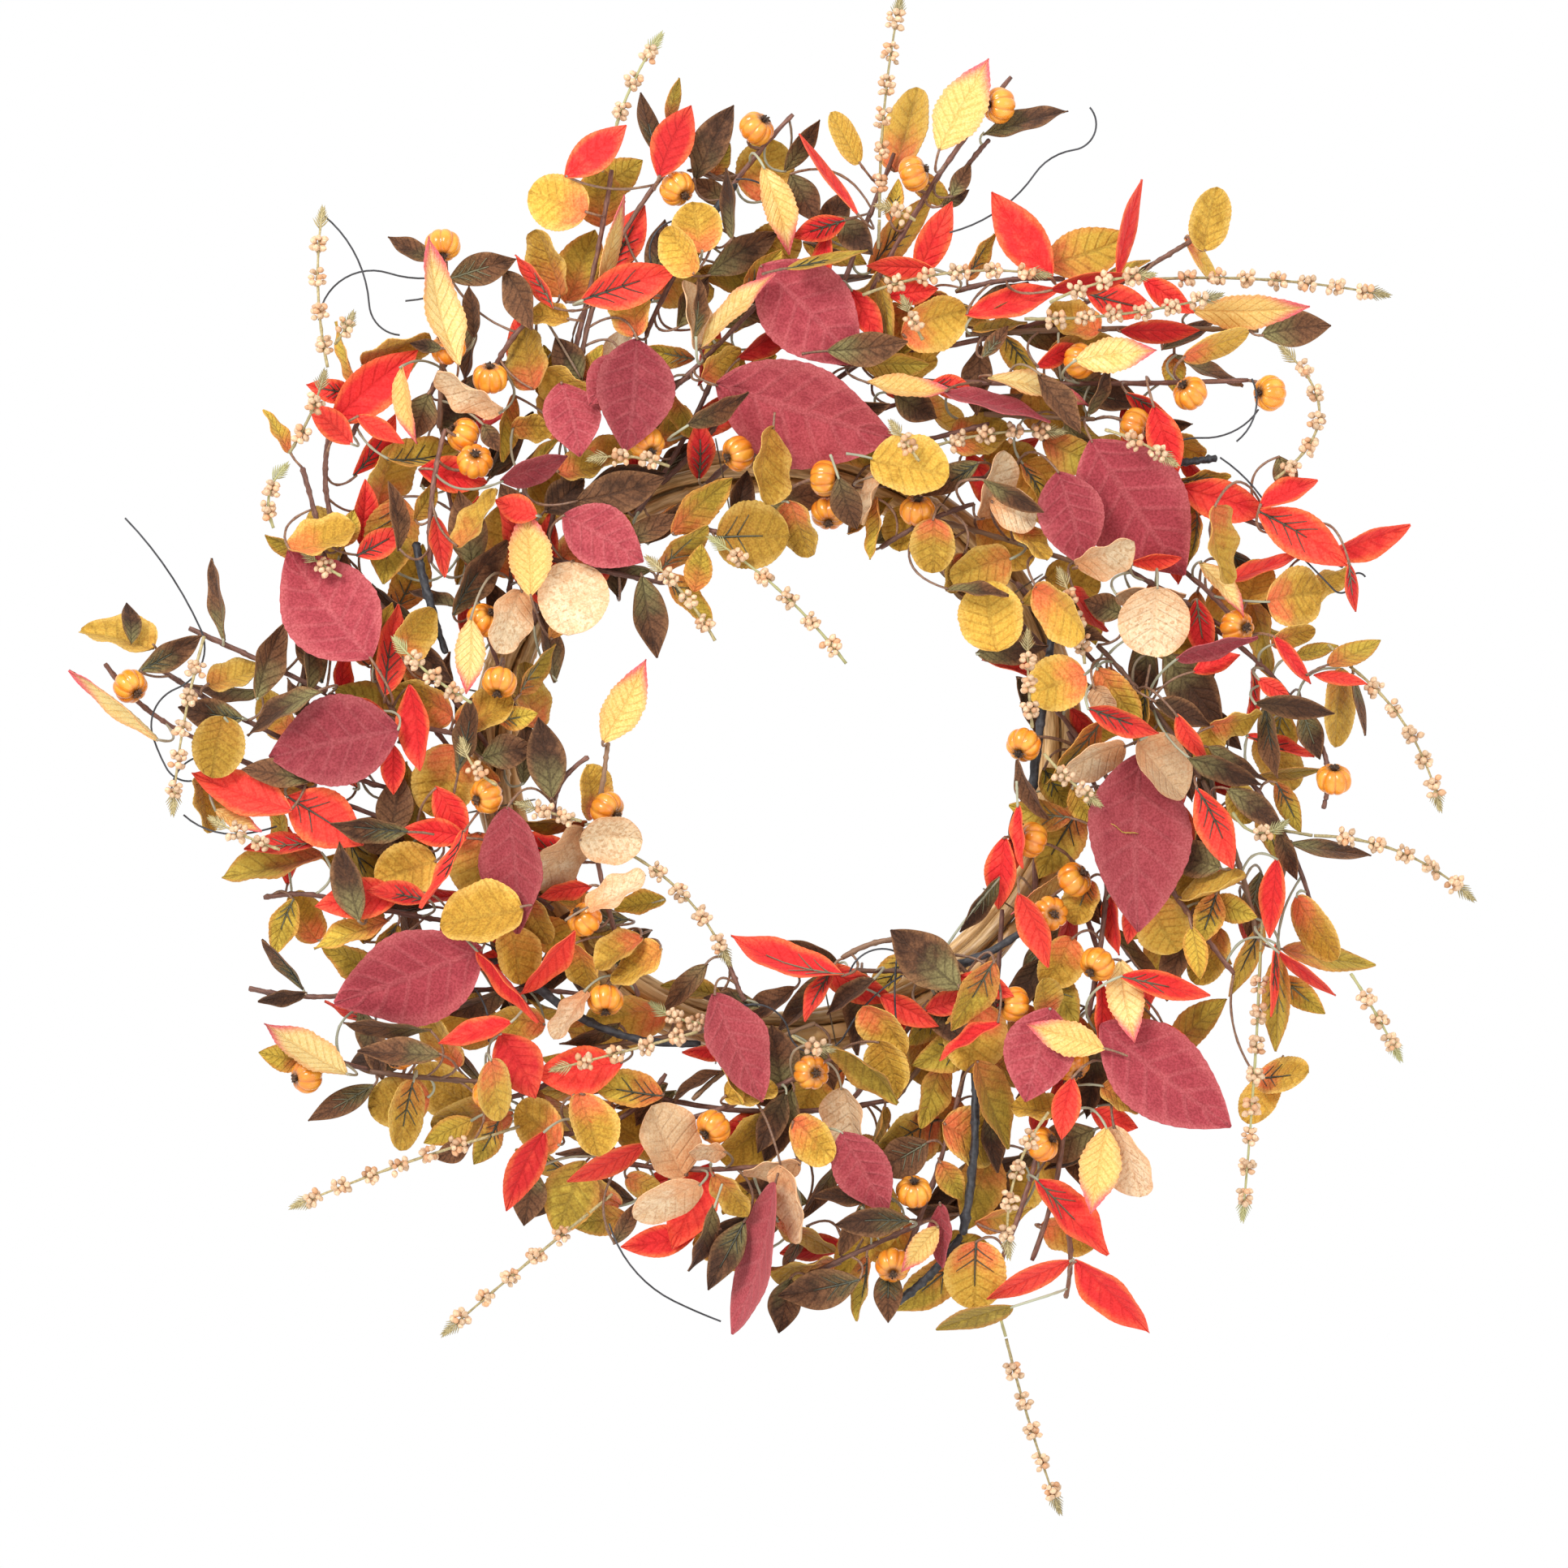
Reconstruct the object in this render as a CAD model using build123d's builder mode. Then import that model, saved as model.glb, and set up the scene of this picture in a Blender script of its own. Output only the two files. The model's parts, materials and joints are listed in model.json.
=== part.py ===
"""Harvest door wreath: a vine-cane ring dressed with wired leaf sprays, little pumpkins and berry strands.

The wreath hangs on a door. +Z is up, the front faces -Y, and the origin is where the hook touches the top
of the hanging eye. Lengths are millimetres and angles are degrees. Places on the wreath are worked out about
the ring's centre: x to the right, z up, and depth forward of the ring's middle plane.
"""

import math
import os
import random

import numpy as np
from build123d import *

# Ring of canes
RING_RADIUS = 152.0
CANE_DIAMETER = 8.0
CANE_LAY = 9.0  # distance of each outer cane from the middle of the bundle
CANE_COUNT = 6
CANE_TURN = 350.0
BUNDLE_RADIUS = CANE_LAY + CANE_DIAMETER / 2

# Binding wire and hanging eye
BINDING_WIRE = 0.9
BINDING_RADIUS = 19.0
BINDING_FORWARD = 5.0
BINDING_COUNT = 16
HANGER_WIRE = 1.8
YOKE_RADIUS = 18.0
YOKE_RISE = 3.5
EYE_RADIUS = 12.0
EYE_SLACK = 0.35
YOKE_TOP = RING_RADIUS + YOKE_RISE + YOKE_RADIUS
EYE_CENTRE = YOKE_TOP - HANGER_WIRE - EYE_SLACK + EYE_RADIUS
EYE_TOP = EYE_CENTRE + EYE_RADIUS - HANGER_WIRE / 2

# Sprays
TWIG_DIAMETER = 2.6
STALK_DIAMETER = 1.5
LEAF_THICKNESS = 0.6
LEAF_FULLNESS = 1.12  # how much larger the leaves are made than they are listed
BACK_DEPTH = -14.0  # nothing stands further back than this, so that the wreath lies flat on a door
FRONT_DEPTH = 84.0

# Pumpkins, berries and black twigs
PUMPKIN_RADIUS = 9.6
PUMPKIN_HEIGHT = 15.0
STRAND_DIAMETER = 1.6
BERRY_DIAMETER = 3.1
BERRY_SPACING = 2.9
BERRY_PITCH = 17.0  # from one cluster of berries to the next
BERRY_SEAT = 2.25  # from the middle of a strand to the middle of a berry
BEND_GAP = 1.2  # bare wire between a free strand and the stem it bends from
BEND_FORWARD = 25  # how far a free strand bends away from the door, and back towards it
BEND_BACK = 6
BLACK_TWIG = 5.0
TENDRIL = 1.0

# Room left between pieces
GAP = 0.5
LEAF_GAP = 2.3
WIRE_SAMPLE = 1.8
LEAF_SAMPLE = 2.5

chance = random.Random(11)


# ---------------------------------------------------------------- places and room


def place(x, z, depth):
    """A point of the row frame, from its place about the ring's centre."""
    return np.array([x, -depth, z - EYE_TOP])


def on_ring(radius, angle, depth):
    """A point from its distance and direction from the ring's centre."""
    a = math.radians(angle)
    return place(radius * math.cos(a), radius * math.sin(a), depth)


def unit(v):
    return v / np.linalg.norm(v)


class Room:
    """The space that the pieces already placed take up, as balls along wires and as flat plates."""

    def __init__(self):
        self.taken = []
        self.middles = np.zeros((0, 3))
        self.reaches = np.zeros(0)

    def add(self, shape):
        points, reach = shape["points"], shape["radius"]
        middle = points.mean(0)
        self.taken.append(shape)
        self.middles = np.vstack([self.middles, middle])
        self.reaches = np.append(self.reaches, np.linalg.norm(points - middle, axis=1).max() + reach)

    def clear(self, shape, leave_out=()):
        """Is this shape clear of everything that is placed?"""
        points = shape["points"]
        middle = points.mean(0)
        reach = np.linalg.norm(points - middle, axis=1).max() + shape["radius"] + LEAF_GAP
        near = np.linalg.norm(self.middles - middle, axis=1) < self.reaches + reach
        return all(apart(shape, self.taken[n]) for n in np.flatnonzero(near) if n not in leave_out)


def plate_distance(points, plate):
    """How far points are from a flat convex plate."""
    corners, normal = plate["points"], plate["normal"]
    sides = np.roll(corners, -1, axis=0) - corners
    outward = np.cross(sides, normal)
    outward /= np.linalg.norm(outward, axis=1)[:, None]
    beside = ((points[:, None] - corners[None]) * outward[None]).sum(2).max(1)
    above = (points - corners[0]) @ normal
    return np.hypot(np.maximum(beside, 0), above)


def apart(one, other):
    """Do two shapes keep their gap?"""
    plates = [s for s in (one, other) if "normal" in s]
    if len(plates) == 2:
        gap = min(plate_distance(one["points"], other).min(), plate_distance(other["points"], one).min())
        return gap > LEAF_GAP
    room = one["radius"] + other["radius"] + GAP
    if len(plates) == 1:
        plate, balls = (one, other) if "normal" in one else (other, one)
        return plate_distance(balls["points"], plate).min() > room
    between = np.linalg.norm(one["points"][:, None] - other["points"][None], axis=2)
    return between.min() > room


def arc_points(start, middle, end, spacing=WIRE_SAMPLE):
    """Points along the circle through three points."""
    a, b = middle - start, end - start
    normal = np.cross(a, b)
    centre = start + np.cross((a @ a) * b - (b @ b) * a, normal) / (2 * normal @ normal)
    outward = start - centre
    onward = np.cross(unit(normal), outward)
    turn = math.atan2((end - centre) @ onward, (end - centre) @ outward) % (2 * math.pi)
    count = max(2, int(turn * np.linalg.norm(outward) / spacing) + 2)
    t = np.linspace(0, turn, count)[:, None]
    return centre + outward * np.cos(t) + onward * np.sin(t)


def wire_room(points, diameter):
    return {"points": np.array(points), "radius": diameter / 2}


# ---------------------------------------------------------------- solids


def rod(points, diameter):
    """A round wire through three points on one arc, or through more on arcs that run on smoothly."""
    route = [Vector(*p) for p in points]
    with BuildPart() as wire:
        with BuildLine() as path:
            last = ThreePointArc(*route[:3])
            for point in route[3:]:
                last = TangentArc(last @ 1, point, tangent=last % 1)
        with BuildSketch(Plane(origin=route[0], z_dir=path.wire() % 0)):
            Circle(diameter / 2)
        sweep()
    return wire.part


def leaf_plane(base, heading, pitch, roll):
    """The plane of a leaf: its x runs from base to tip and its z is the side that faces the room."""
    h, p, r = (math.radians(v) for v in (heading, pitch, roll))
    along = np.array([math.cos(p) * math.cos(h), -math.sin(p), math.cos(p) * math.sin(h)])
    face = np.array([-math.sin(p) * math.cos(h), -math.cos(p), -math.sin(p) * math.sin(h)])
    side = np.cross(face, along)
    normal = face * math.cos(r) + side * math.sin(r)
    return Plane(origin=tuple(base), x_dir=tuple(along), z_dir=tuple(normal))


def leaf_outline(length, width, oval, count):
    """Points round a leaf in its own plane."""
    if oval:
        turn = np.linspace(0, 2 * np.pi, count, endpoint=False)
        return np.stack([length / 2 - length / 2 * np.cos(turn), -width / 2 * np.sin(turn)], 1)
    t = np.linspace(0, 1, count // 2, endpoint=False)
    arc = (length**2 / 4 + (width / 2) ** 2) / width
    bulge = np.sqrt(arc**2 - (t * length - length / 2) ** 2) - arc + width / 2
    there = np.stack([t * length, -bulge], 1)
    back = np.stack([(1 - t) * length, bulge], 1)
    return np.vstack([there, back])


def leaf_room(plane, length, width, oval):
    count = max(10, 2 * round((length + width) / LEAF_SAMPLE))
    flat = leaf_outline(length, width, oval, count)
    x, y, o = (np.array(tuple(v)) for v in (plane.x_dir, plane.y_dir, plane.origin))
    points = o + flat[:, :1] * x + flat[:, 1:] * y
    return {"points": points, "radius": LEAF_THICKNESS / 2, "normal": np.array(tuple(plane.z_dir))}


def leaf_blade(plane, length, width, oval):
    """One leaf as a thin flat plate, pointed at both ends or oval."""
    with BuildPart() as blade:
        with BuildSketch(plane):
            if oval:
                with Locations((length / 2, 0)):
                    Ellipse(length / 2, width / 2)
            else:
                with BuildLine():
                    ThreePointArc((0, 0), (length / 2, width / 2), (length, 0))
                    ThreePointArc((length, 0), (length / 2, -width / 2), (0, 0))
                make_face()
        extrude(amount=LEAF_THICKNESS / 2, both=True)
    return blade.part


def little_pumpkin():
    """A squat round fruit, standing on +Z, hollowed a little at both poles."""
    half, dent, rim = PUMPKIN_HEIGHT / 2, 2.0, 4.2
    with BuildPart() as fruit:
        with BuildSketch(Plane.XZ):
            with BuildLine():
                Line((0, -half + dent), (0, half - dent))
                Line((0, half - dent), (1.5, half - dent))
                ThreePointArc((1.5, half - dent), (rim - 1, half - 0.6), (rim, half))
                ThreePointArc((rim, half), (PUMPKIN_RADIUS, 0), (rim, -half))
                ThreePointArc((rim, -half), (rim - 1, -half + 0.6), (1.5, -half + dent))
                Line((1.5, -half + dent), (0, -half + dent))
            make_face()
        revolve(axis=Axis.Z)
    return fruit.part


def withered_flower():
    """The dry flower end in a pumpkin's front dent, standing on +Z."""
    with BuildPart() as flower:
        with BuildSketch(Plane.XY.offset(PUMPKIN_HEIGHT / 2 - 2.2)):
            Circle(1.4)
        with BuildSketch(Plane.XY.offset(PUMPKIN_HEIGHT / 2 + 0.8)):
            Circle(2.6)
        loft()
    return flower.part


def write(label, solids):
    """One STEP for one kind of piece, with each piece a solid of its own."""
    group = solids[0] if len(solids) == 1 else Compound(children=solids)
    group.label = label
    export_step(group, f"parts/{label}.step")


# ---------------------------------------------------------------- what stands where, chosen by hand
# A leaf is (x, z, heading, length, width seen from the front), about its middle; its heading runs from its
# base to its tip. Where two leaves cross, the earlier one stands in front.

BURGUNDY = [
    (17, 230, -45, 66, 44), (14, 178, -18, 88, 50), (-77, 188, -95, 56, 38), (-91, 196, -120, 30, 20),
    (-109, 175, -75, 38, 28), (-236, 77, 128, 68, 46), (-234, 4, 192, 64, 44), (-195, -119, 200, 76, 46),
    (-177, -158, 214, 88, 42), (-139, -63, -85, 60, 34), (-20, -156, -65, 56, 30),
    (-12, -268, -105, 78, 18),
    (191, -48, -92, 86, 54), (205, -171, -38, 78, 46), (137, -160, -105, 46, 34), (190, 128, -54, 80, 52),
    (154, 122, -75, 46, 32), (228, -150, -50, 84, 56), (46, -222, -60, 44, 28), (231, 54, 15, 40, 10),
    (86, -256, -90, 30, 12), (116, 182, -15, 52, 14), (-92, 112, -30, 44, 30), (-128, 148, 20, 34, 14),
]
CREAM = [
    (-109, 81, -90, 36, 34), (-141, 68, -110, 32, 20), (-88, -47, 0, 30, 24), (-117, -58, 228, 40, 20),
    (197, 82, 0, 34, 10), (199, 68, -90, 37, 34), (168, -5, 205, 32, 18), (203, -9, -50, 36, 26),
    (115, 140, 70, 34, 18), (125, 127, -20, 26, 20), (172, 102, 20, 30, 18), (68, 148, 10, 32, 19),
    (-57, -206, 115, 38, 28), (37, -198, -80, 36, 22), (-3, -221, 190, 28, 13), (7, -238, -75, 38, 20),
    (-58, -238, 208, 36, 22), (-37, -212, 180, 18, 10), (184, -217, -70, 38, 22), (-44, 230, 100, 34, 13),
    (-85, 213, 60, 34, 17), (-163, 188, 150, 36, 14), (172, 25, -60, 18, 12), (-85, -74, 30, 32, 16),
    (-110, -139, -125, 28, 14), (49, 135, -110, 28, 8),
]
YELLOW = [
    (-132, 105, 95, 44, 21), (-81, 26, 62, 46, 19), (98, 340, 62, 52, 24), (-176, 236, 104, 62, 17),
    (-350, 24, 142, 54, 10), (-249, -157, 150, 50, 17), (250, 233, 2, 56, 16), (178, 208, 8, 40, 17),
    (139, 192, -12, 52, 13), (70, 192, -5, 42, 11), (151, -150, 162, 40, 17), (185, -132, -82, 44, 18),
    (0, 285, -72, 44, 16), (-22, 233, 46, 50, 13), (-87, 266, 75, 50, 9), (169, -221, -100, 42, 20),
    (140, -76, 214, 36, 9), (-196, 182, -82, 38, 10), (-163, 50, -95, 38, 15), (235, 86, -50, 34, 11),
    (75, -262, -130, 28, 12), (-285, -37, -25, 26, 8), (175, 116, -30, 26, 10),
]
RED = [
    (-96, 316, 40, 38, 19), (-54, 322, 68, 44, 20), (27, 304, 125, 50, 10), (22, 276, 195, 30, 12),
    (-80, 272, 62, 36, 18), (83, 270, 65, 40, 16), (129, 272, 125, 50, 22), (186, 276, 75, 50, 10),
    (-78, 245, 18, 48, 21), (124, 237, 15, 46, 16), (181, 237, -15, 34, 17), (206, 240, -36, 30, 12),
    (65, 255, 175, 34, 10), (-213, 192, 40, 54, 23), (-236, 172, 138, 28, 14), (-236, 191, 172, 24, 12),
    (236, 132, -16, 46, 20), (277, 112, -32, 50, 22), (312, 110, 20, 44, 13), (270, 137, 26, 34, 12),
    (303, 86, -80, 24, 8), (204, 163, -70, 36, 17), (297, 38, -10, 26, 8), (231, -41, -66, 42, 17),
    (262, -78, -95, 38, 13), (187, -90, -100, 22, 10), (262, -121, -95, 36, 9), (279, -118, -38, 36, 8),
    (205, -124, -12, 46, 14), (156, -246, -46, 50, 19), (133, -280, 205, 44, 14), (177, -289, -45, 54, 22),
    (5, -109, 162, 58, 17), (21, -129, -120, 28, 9), (42, -124, -25, 42, 16), (69, -138, -28, 32, 13),
    (-46, -242, -114, 44, 24), (-105, -168, 188, 42, 24), (-137, -166, -60, 36, 24),
    (-133, -222, -116, 44, 17),
    (-90, -218, 206, 42, 14), (-221, -79, 188, 42, 20), (-200, -76, 170, 30, 11), (-283, -22, 160, 52, 22),
    (-239, -37, -32, 44, 28), (-262, -50, 185, 36, 9), (-218, 13, 0, 30, 26), (-204, 53, 82, 44, 16),
    (-210, 110, 30, 26, 14), (-191, 12, -82, 42, 17), (-203, -10, -90, 24, 12), (-181, -44, 172, 32, 14),
    (-176, -63, -118, 42, 9), (-121, -113, -130, 42, 12), (-142, -124, -50, 46, 10), (165, 246, 10, 40, 10),
    (202, 222, 0, 38, 11), (47, 230, -60, 30, 14), (23, 256, -100, 38, 11), (72, 243, 8, 24, 12),
    (-128, 248, 125, 32, 9), (-210, 170, -30, 26, 10), (-172, 146, -10, 34, 18), (-178, 108, -80, 30, 11),
    (-138, 128, 160, 22, 14), (225, 64, -80, 30, 14), (272, 48, -50, 30, 9), (256, 97, 20, 42, 10),
    (200, 100, 5, 24, 8), (148, 209, 30, 26, 10), (93, 193, -10, 22, 12), (172, -138, -92, 34, 12),
    (152, -188, -100, 30, 14), (178, -195, -20, 24, 13), (110, -124, -20, 28, 13), (90, -133, 20, 24, 12),
    (-96, -195, -50, 34, 8), (262, 33, -30, 18, 9), (232, 46, 20, 24, 10), (-173, -33, -60, 30, 16),
]
BROWN = [
    (-194, 266, 152, 26, 10), (-156, 255, 14, 36, 15), (-137, 238, -65, 38, 14), (-162, 232, 95, 26, 9),
    (-165, 213, -95, 34, 9), (-172, 179, 100, 30, 20), (-189, 177, -110, 24, 16), (-111, 208, 122, 24, 16),
    (-68, 332, 105, 34, 11), (-34, 322, 62, 40, 18), (-36, 297, 150, 24, 11), (-26, 288, 95, 36, 9),
    (13, 321, 55, 30, 10), (14, 293, -62, 28, 15), (41, 273, -48, 26, 15), (-18, 263, 32, 40, 16),
    (131, 333, 15, 42, 14), (97, 302, 60, 20, 9), (107, 198, -95, 36, 14), (171, 191, 65, 28, 7),
    (172, 190, -15, 44, 18), (219, 222, 30, 32, 10), (230, 203, -24, 36, 9), (275, 223, 8, 34, 18),
    (269, 146, -70, 20, 12), (165, 156, -55, 40, 12), (220, 33, -50, 46, 24), (214, 20, -22, 32, 12),
    (272, 22, -8, 38, 12), (261, 6, -82, 38, 9), (283, 9, -70, 26, 13), (230, -18, -86, 40, 8),
    (243, -7, -30, 34, 10), (293, -52, -8, 40, 9), (270, -55, -70, 26, 10), (221, -57, 160, 28, 18),
    (213, -108, -112, 42, 13), (193, -113, -52, 46, 9), (168, -172, -100, 44, 18), (152, -209, 205, 34, 20),
    (98, -135, -80, 32, 9), (91, -142, -60, 30, 18), (78, -110, 140, 44, 25), (18, -109, 155, 34, 12),
    (43, -139, -95, 42, 11), (0, -163, 100, 32, 22), (-3, -197, -115, 32, 14), (26, -168, -70, 26, 10),
    (66, -216, -150, 30, 20), (38, -236, 180, 34, 9), (39, -254, -112, 28, 10), (22, -284, 192, 40, 20),
    (4, -294, -102, 28, 16), (-39, -259, -108, 36, 10), (84, -245, 176, 28, 10), (59, -288, -92, 28, 14),
    (-79, -105, 52, 20, 11), (-216, -156, -72, 38, 14), (-206, -147, 176, 42, 12),
    (-160, -135, 204, 36, 11),
    (-231, -186, 208, 36, 13), (-262, -113, 126, 34, 10), (-262, -131, 190, 24, 8),
    (-132, -237, -100, 28, 17),
    (-173, -213, 200, 18, 11), (-342, 68, 100, 24, 9), (-320, 51, 30, 34, 13), (-297, 80, 100, 40, 10),
    (-295, 32, 175, 38, 9), (-300, 20, 170, 32, 16), (-268, 47, 72, 40, 15), (-248, 51, 94, 40, 9),
    (-261, 21, 208, 44, 14), (-264, -12, 170, 34, 13), (-203, -29, 80, 32, 18), (-213, -44, 160, 30, 18),
    (-188, 49, -42, 38, 15), (-182, 81, 162, 28, 7), (-165, 117, 100, 38, 19), (-141, 131, 120, 22, 13),
    (-158, 92, 55, 44, 16), (-113, 135, 40, 24, 18), (-83, 138, 15, 44, 20), (-68, 71, -80, 40, 17),
    (-82, 97, 172, 28, 9), (-123, -4, 100, 40, 19), (-143, -1, 12, 26, 17), (173, 76, 160, 20, 14),
    (163, 62, -20, 24, 8), (37, 130, -70, 28, 15), (92, 144, -150, 32, 13), (73, 183, -30, 24, 16),
    (-63, 265, 80, 32, 14), (-45, 238, 60, 30, 12), (268, -64, -105, 30, 7), (309, 25, -80, 32, 8),
    (151, 206, 90, 18, 8), (94, 293, 30, 16, 7), (115, 216, 50, 20, 8), (-185, 213, 170, 16, 7),
    (-152, 166, -60, 16, 9), (30, 287, 60, 26, 14), (-33, 307, 170, 28, 7), (-80, -250, 60, 24, 9),
]
OLIVE_OVAL = [
    (-116, 290, 160, 30, 27), (-122, 258, 110, 34, 18), (-78, 234, 100, 27, 20), (-121, 230, 170, 20, 13),
    (-202, 211, 20, 36, 17), (-133, 208, 100, 31, 22), (-110, 190, -40, 34, 22), (-6, 309, 80, 31, 28),
    (-42, 276, 100, 26, 24), (-51, 262, 120, 26, 18), (36, 324, 120, 28, 14), (68, 331, 75, 42, 25),
    (83, 226, 20, 34, 25), (229, 281, 80, 31, 21), (226, 262, -50, 28, 11), (157, 228, 160, 27, 18),
    (232, 214, 20, 34, 11), (233, 108, -80, 38, 19), (253, 90, 70, 25, 20), (274, 81, 10, 33, 29),
    (289, 90, 15, 32, 16), (298, 23, -95, 38, 20), (243, 15, 10, 26, 12), (228, 4, -110, 20, 16),
    (246, -28, -70, 20, 16), (148, 35, 200, 29, 27), (161, -80, -110, 23, 18), (230, -72, 20, 34, 13),
    (205, -93, -60, 28, 27), (285, -94, -60, 36, 16), (149, -112, -120, 27, 22), (105, -152, -100, 34, 31),
    (103, -206, -30, 34, 26), (105, -278, -90, 34, 30), (268, -172, 10, 28, 18), (257, -186, -120, 26, 16),
    (137, -189, 170, 25, 13), (56, -148, -50, 31, 20), (58, -167, -70, 27, 22), (18, -206, -45, 28, 20),
    (52, -252, -60, 26, 20), (14, -275, 186, 34, 19), (15, -258, -30, 32, 14), (-25, -235, -50, 26, 15),
    (-12, -207, 215, 38, 26), (-158, -61, -90, 32, 29), (-156, -86, 190, 40, 30), (-128, -90, -60, 26, 18),
    (-138, -108, -80, 28, 22), (-98, -196, -70, 32, 24), (-201, -186, 190, 30, 26),
    (-195, -192, -100, 34, 16),
    (-163, -197, 186, 40, 25), (-148, -178, -80, 30, 16), (-197, -64, 200, 31, 27), (-295, 2, -100, 30, 25),
    (-303, -28, -80, 28, 14), (-240, 112, 20, 34, 20), (-177, -16, -110, 36, 31), (-96, 112, 30, 38, 24),
    (-188, 25, 155, 32, 23), (-156, 21, 20, 31, 22), (-13, 113, 0, 36, 33), (11, 117, -70, 29, 18),
    (-4, 150, -95, 38, 18), (113, 71, -80, 34, 31), (108, 96, -160, 31, 24), (82, 108, -90, 26, 22),
    (67, 119, -100, 24, 20), (95, 94, -110, 20, 14), (134, 112, -50, 26, 15), (-98, -22, 95, 28, 14),
    (-349, 61, 165, 38, 19), (-288, 40, 20, 27, 17), (-190, 62, 60, 28, 18), (-257, -18, 10, 20, 13),
    (-104, -115, -70, 27, 20), (-105, 150, 10, 22, 16), (-130, 171, 0, 20, 13), (155, -258, -20, 28, 20),
    (-30, 205, 40, 24, 14), (-70, -232, -30, 22, 15), (182, -183, -30, 22, 12), (-90, 158, 15, 32, 18),
    (-14, -180, 10, 26, 16), (142, -130, 100, 20, 14), (122, -169, -40, 25, 14), (273, 60, 20, 22, 9),
]
OLIVE_POINTED = [
    (-95, 295, 95, 30, 25), (-85, 307, 32, 28, 18), (-105, 258, 70, 40, 25), (-230, 210, 108, 32, 9),
    (-144, 172, -100, 34, 10), (-188, 158, 10, 40, 17), (-55, 345, 75, 22, 7), (66, 276, 50, 50, 17),
    (-4, 262, -30, 25, 13), (26, 258, 14, 40, 9), (82, 299, -45, 28, 14), (-27, 204, -60, 31, 20),
    (-58, 210, -10, 26, 11), (-51, 178, -60, 28, 12), (57, 230, -80, 36, 9), (60, 212, 12, 24, 12),
    (63, 204, 0, 32, 13), (165, 266, 20, 46, 25), (108, 262, 60, 26, 8), (129, 209, -50, 28, 12),
    (212, 202, -90, 20, 12), (225, 144, 10, 30, 8), (228, 132, 35, 23, 9), (220, 112, -100, 27, 11),
    (258, 61, -75, 46, 13), (305, 52, 25, 30, 12), (286, 53, 15, 22, 8), (273, -12, 5, 30, 8),
    (271, -30, -65, 27, 11), (158, -2, -130, 40, 14), (192, 18, -100, 28, 9), (172, 9, 10, 22, 7),
    (139, -33, 170, 31, 16), (150, -49, -120, 40, 24), (162, -30, -60, 22, 13), (148, -20, -60, 23, 15),
    (228, -89, -110, 27, 15), (242, -84, -20, 26, 13), (294, -110, -10, 46, 13), (250, -112, -115, 38, 12),
    (221, -107, -80, 26, 12), (265, -134, -92, 46, 14), (279, -130, -40, 28, 12), (151, -131, -60, 30, 17),
    (90, -160, 200, 36, 20), (114, -187, -70, 46, 18), (107, -234, -110, 42, 24), (121, -248, 10, 32, 15),
    (80, -285, -140, 42, 22), (98, -262, 5, 26, 8), (104, -300, 200, 42, 12), (46, -170, -40, 44, 14),
    (53, -214, -100, 44, 9), (60, -246, -70, 34, 9), (44, -285, -100, 32, 10), (-27, -168, -60, 36, 10),
    (-80, -179, 170, 36, 18), (-110, -200, -40, 46, 14), (-110, -238, -110, 40, 27),
    (-221, -60, -62, 50, 10),
    (-226, -96, 200, 38, 14), (-208, -103, -120, 24, 10), (-117, -99, -30, 32, 18),
    (-268, -60, 192, 50, 18),
    (-262, -93, -110, 28, 14), (-205, 112, -100, 44, 26), (-260, 108, 155, 24, 8), (-186, 132, 60, 22, 9),
    (-50, 107, 42, 36, 12), (-42, 97, -100, 24, 14), (-47, 81, -45, 34, 14), (-73, -81, 190, 25, 12),
    (-122, -39, 180, 38, 7), (-138, 18, 10, 20, 12), (51, 118, -95, 30, 8), (157, 157, -25, 34, 18),
    (137, 141, -60, 26, 10), (-265, 170, 120, 24, 8), (185, 256, 20, 24, 8), (118, 226, 10, 28, 9),
    (-262, -162, 170, 24, 14), (62, 292, 80, 22, 9), (-30, 314, 60, 18, 10), (-98, 206, 60, 20, 10),
    (-128, -190, -80, 22, 9), (-155, -208, -120, 26, 14), (92, -228, -60, 22, 13), (-228, 118, 70, 20, 10),
]
PUMPKINS = [
    (-11, 329, 45, 60), (-53, 297, -45, 55), (-177, 267, -90, 60), (117, 341, 180, 60), (72, 305, 20, 80),
    (-174, 213, 120, 50), (-152, 197, 90, 60), (-160, 153, 80, 30), (-167, 168, 150, 70),
    (-69, 162, -60, 45),
    (-21, 157, 200, 60), (25, 144, 0, 75), (27, 126, -90, 50), (74, 127, 90, 60), (160, 206, 0, 50),
    (218, 189, 135, 55), (260, 189, 180, 60), (189, 172, -20, 75), (243, 65, 0, 35), (294, -15, 90, 60),
    (130, 3, -120, 50), (134, -47, 160, 65), (157, -68, 40, 60), (144, -86, 0, 15), (169, -113, 225, 55),
    (125, -134, 180, 75), (156, -166, -60, 50), (140, -208, 30, 60), (72, -233, 90, 55),
    (61, -272, -90, 35),
    (18, -170, 0, 20), (-34, -199, -140, 55), (-91, -132, -90, 60), (-102, -89, 135, 55),
    (-155, 69, 45, 55),
    (-147, 36, -100, 60), (-154, -24, 200, 50), (-90, -31, -30, 60), (-249, -172, 190, 60),
    (-200, -160, -120, 50), (-152, -182, 60, 65), (-342, 34, -45, 55),
]

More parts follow.
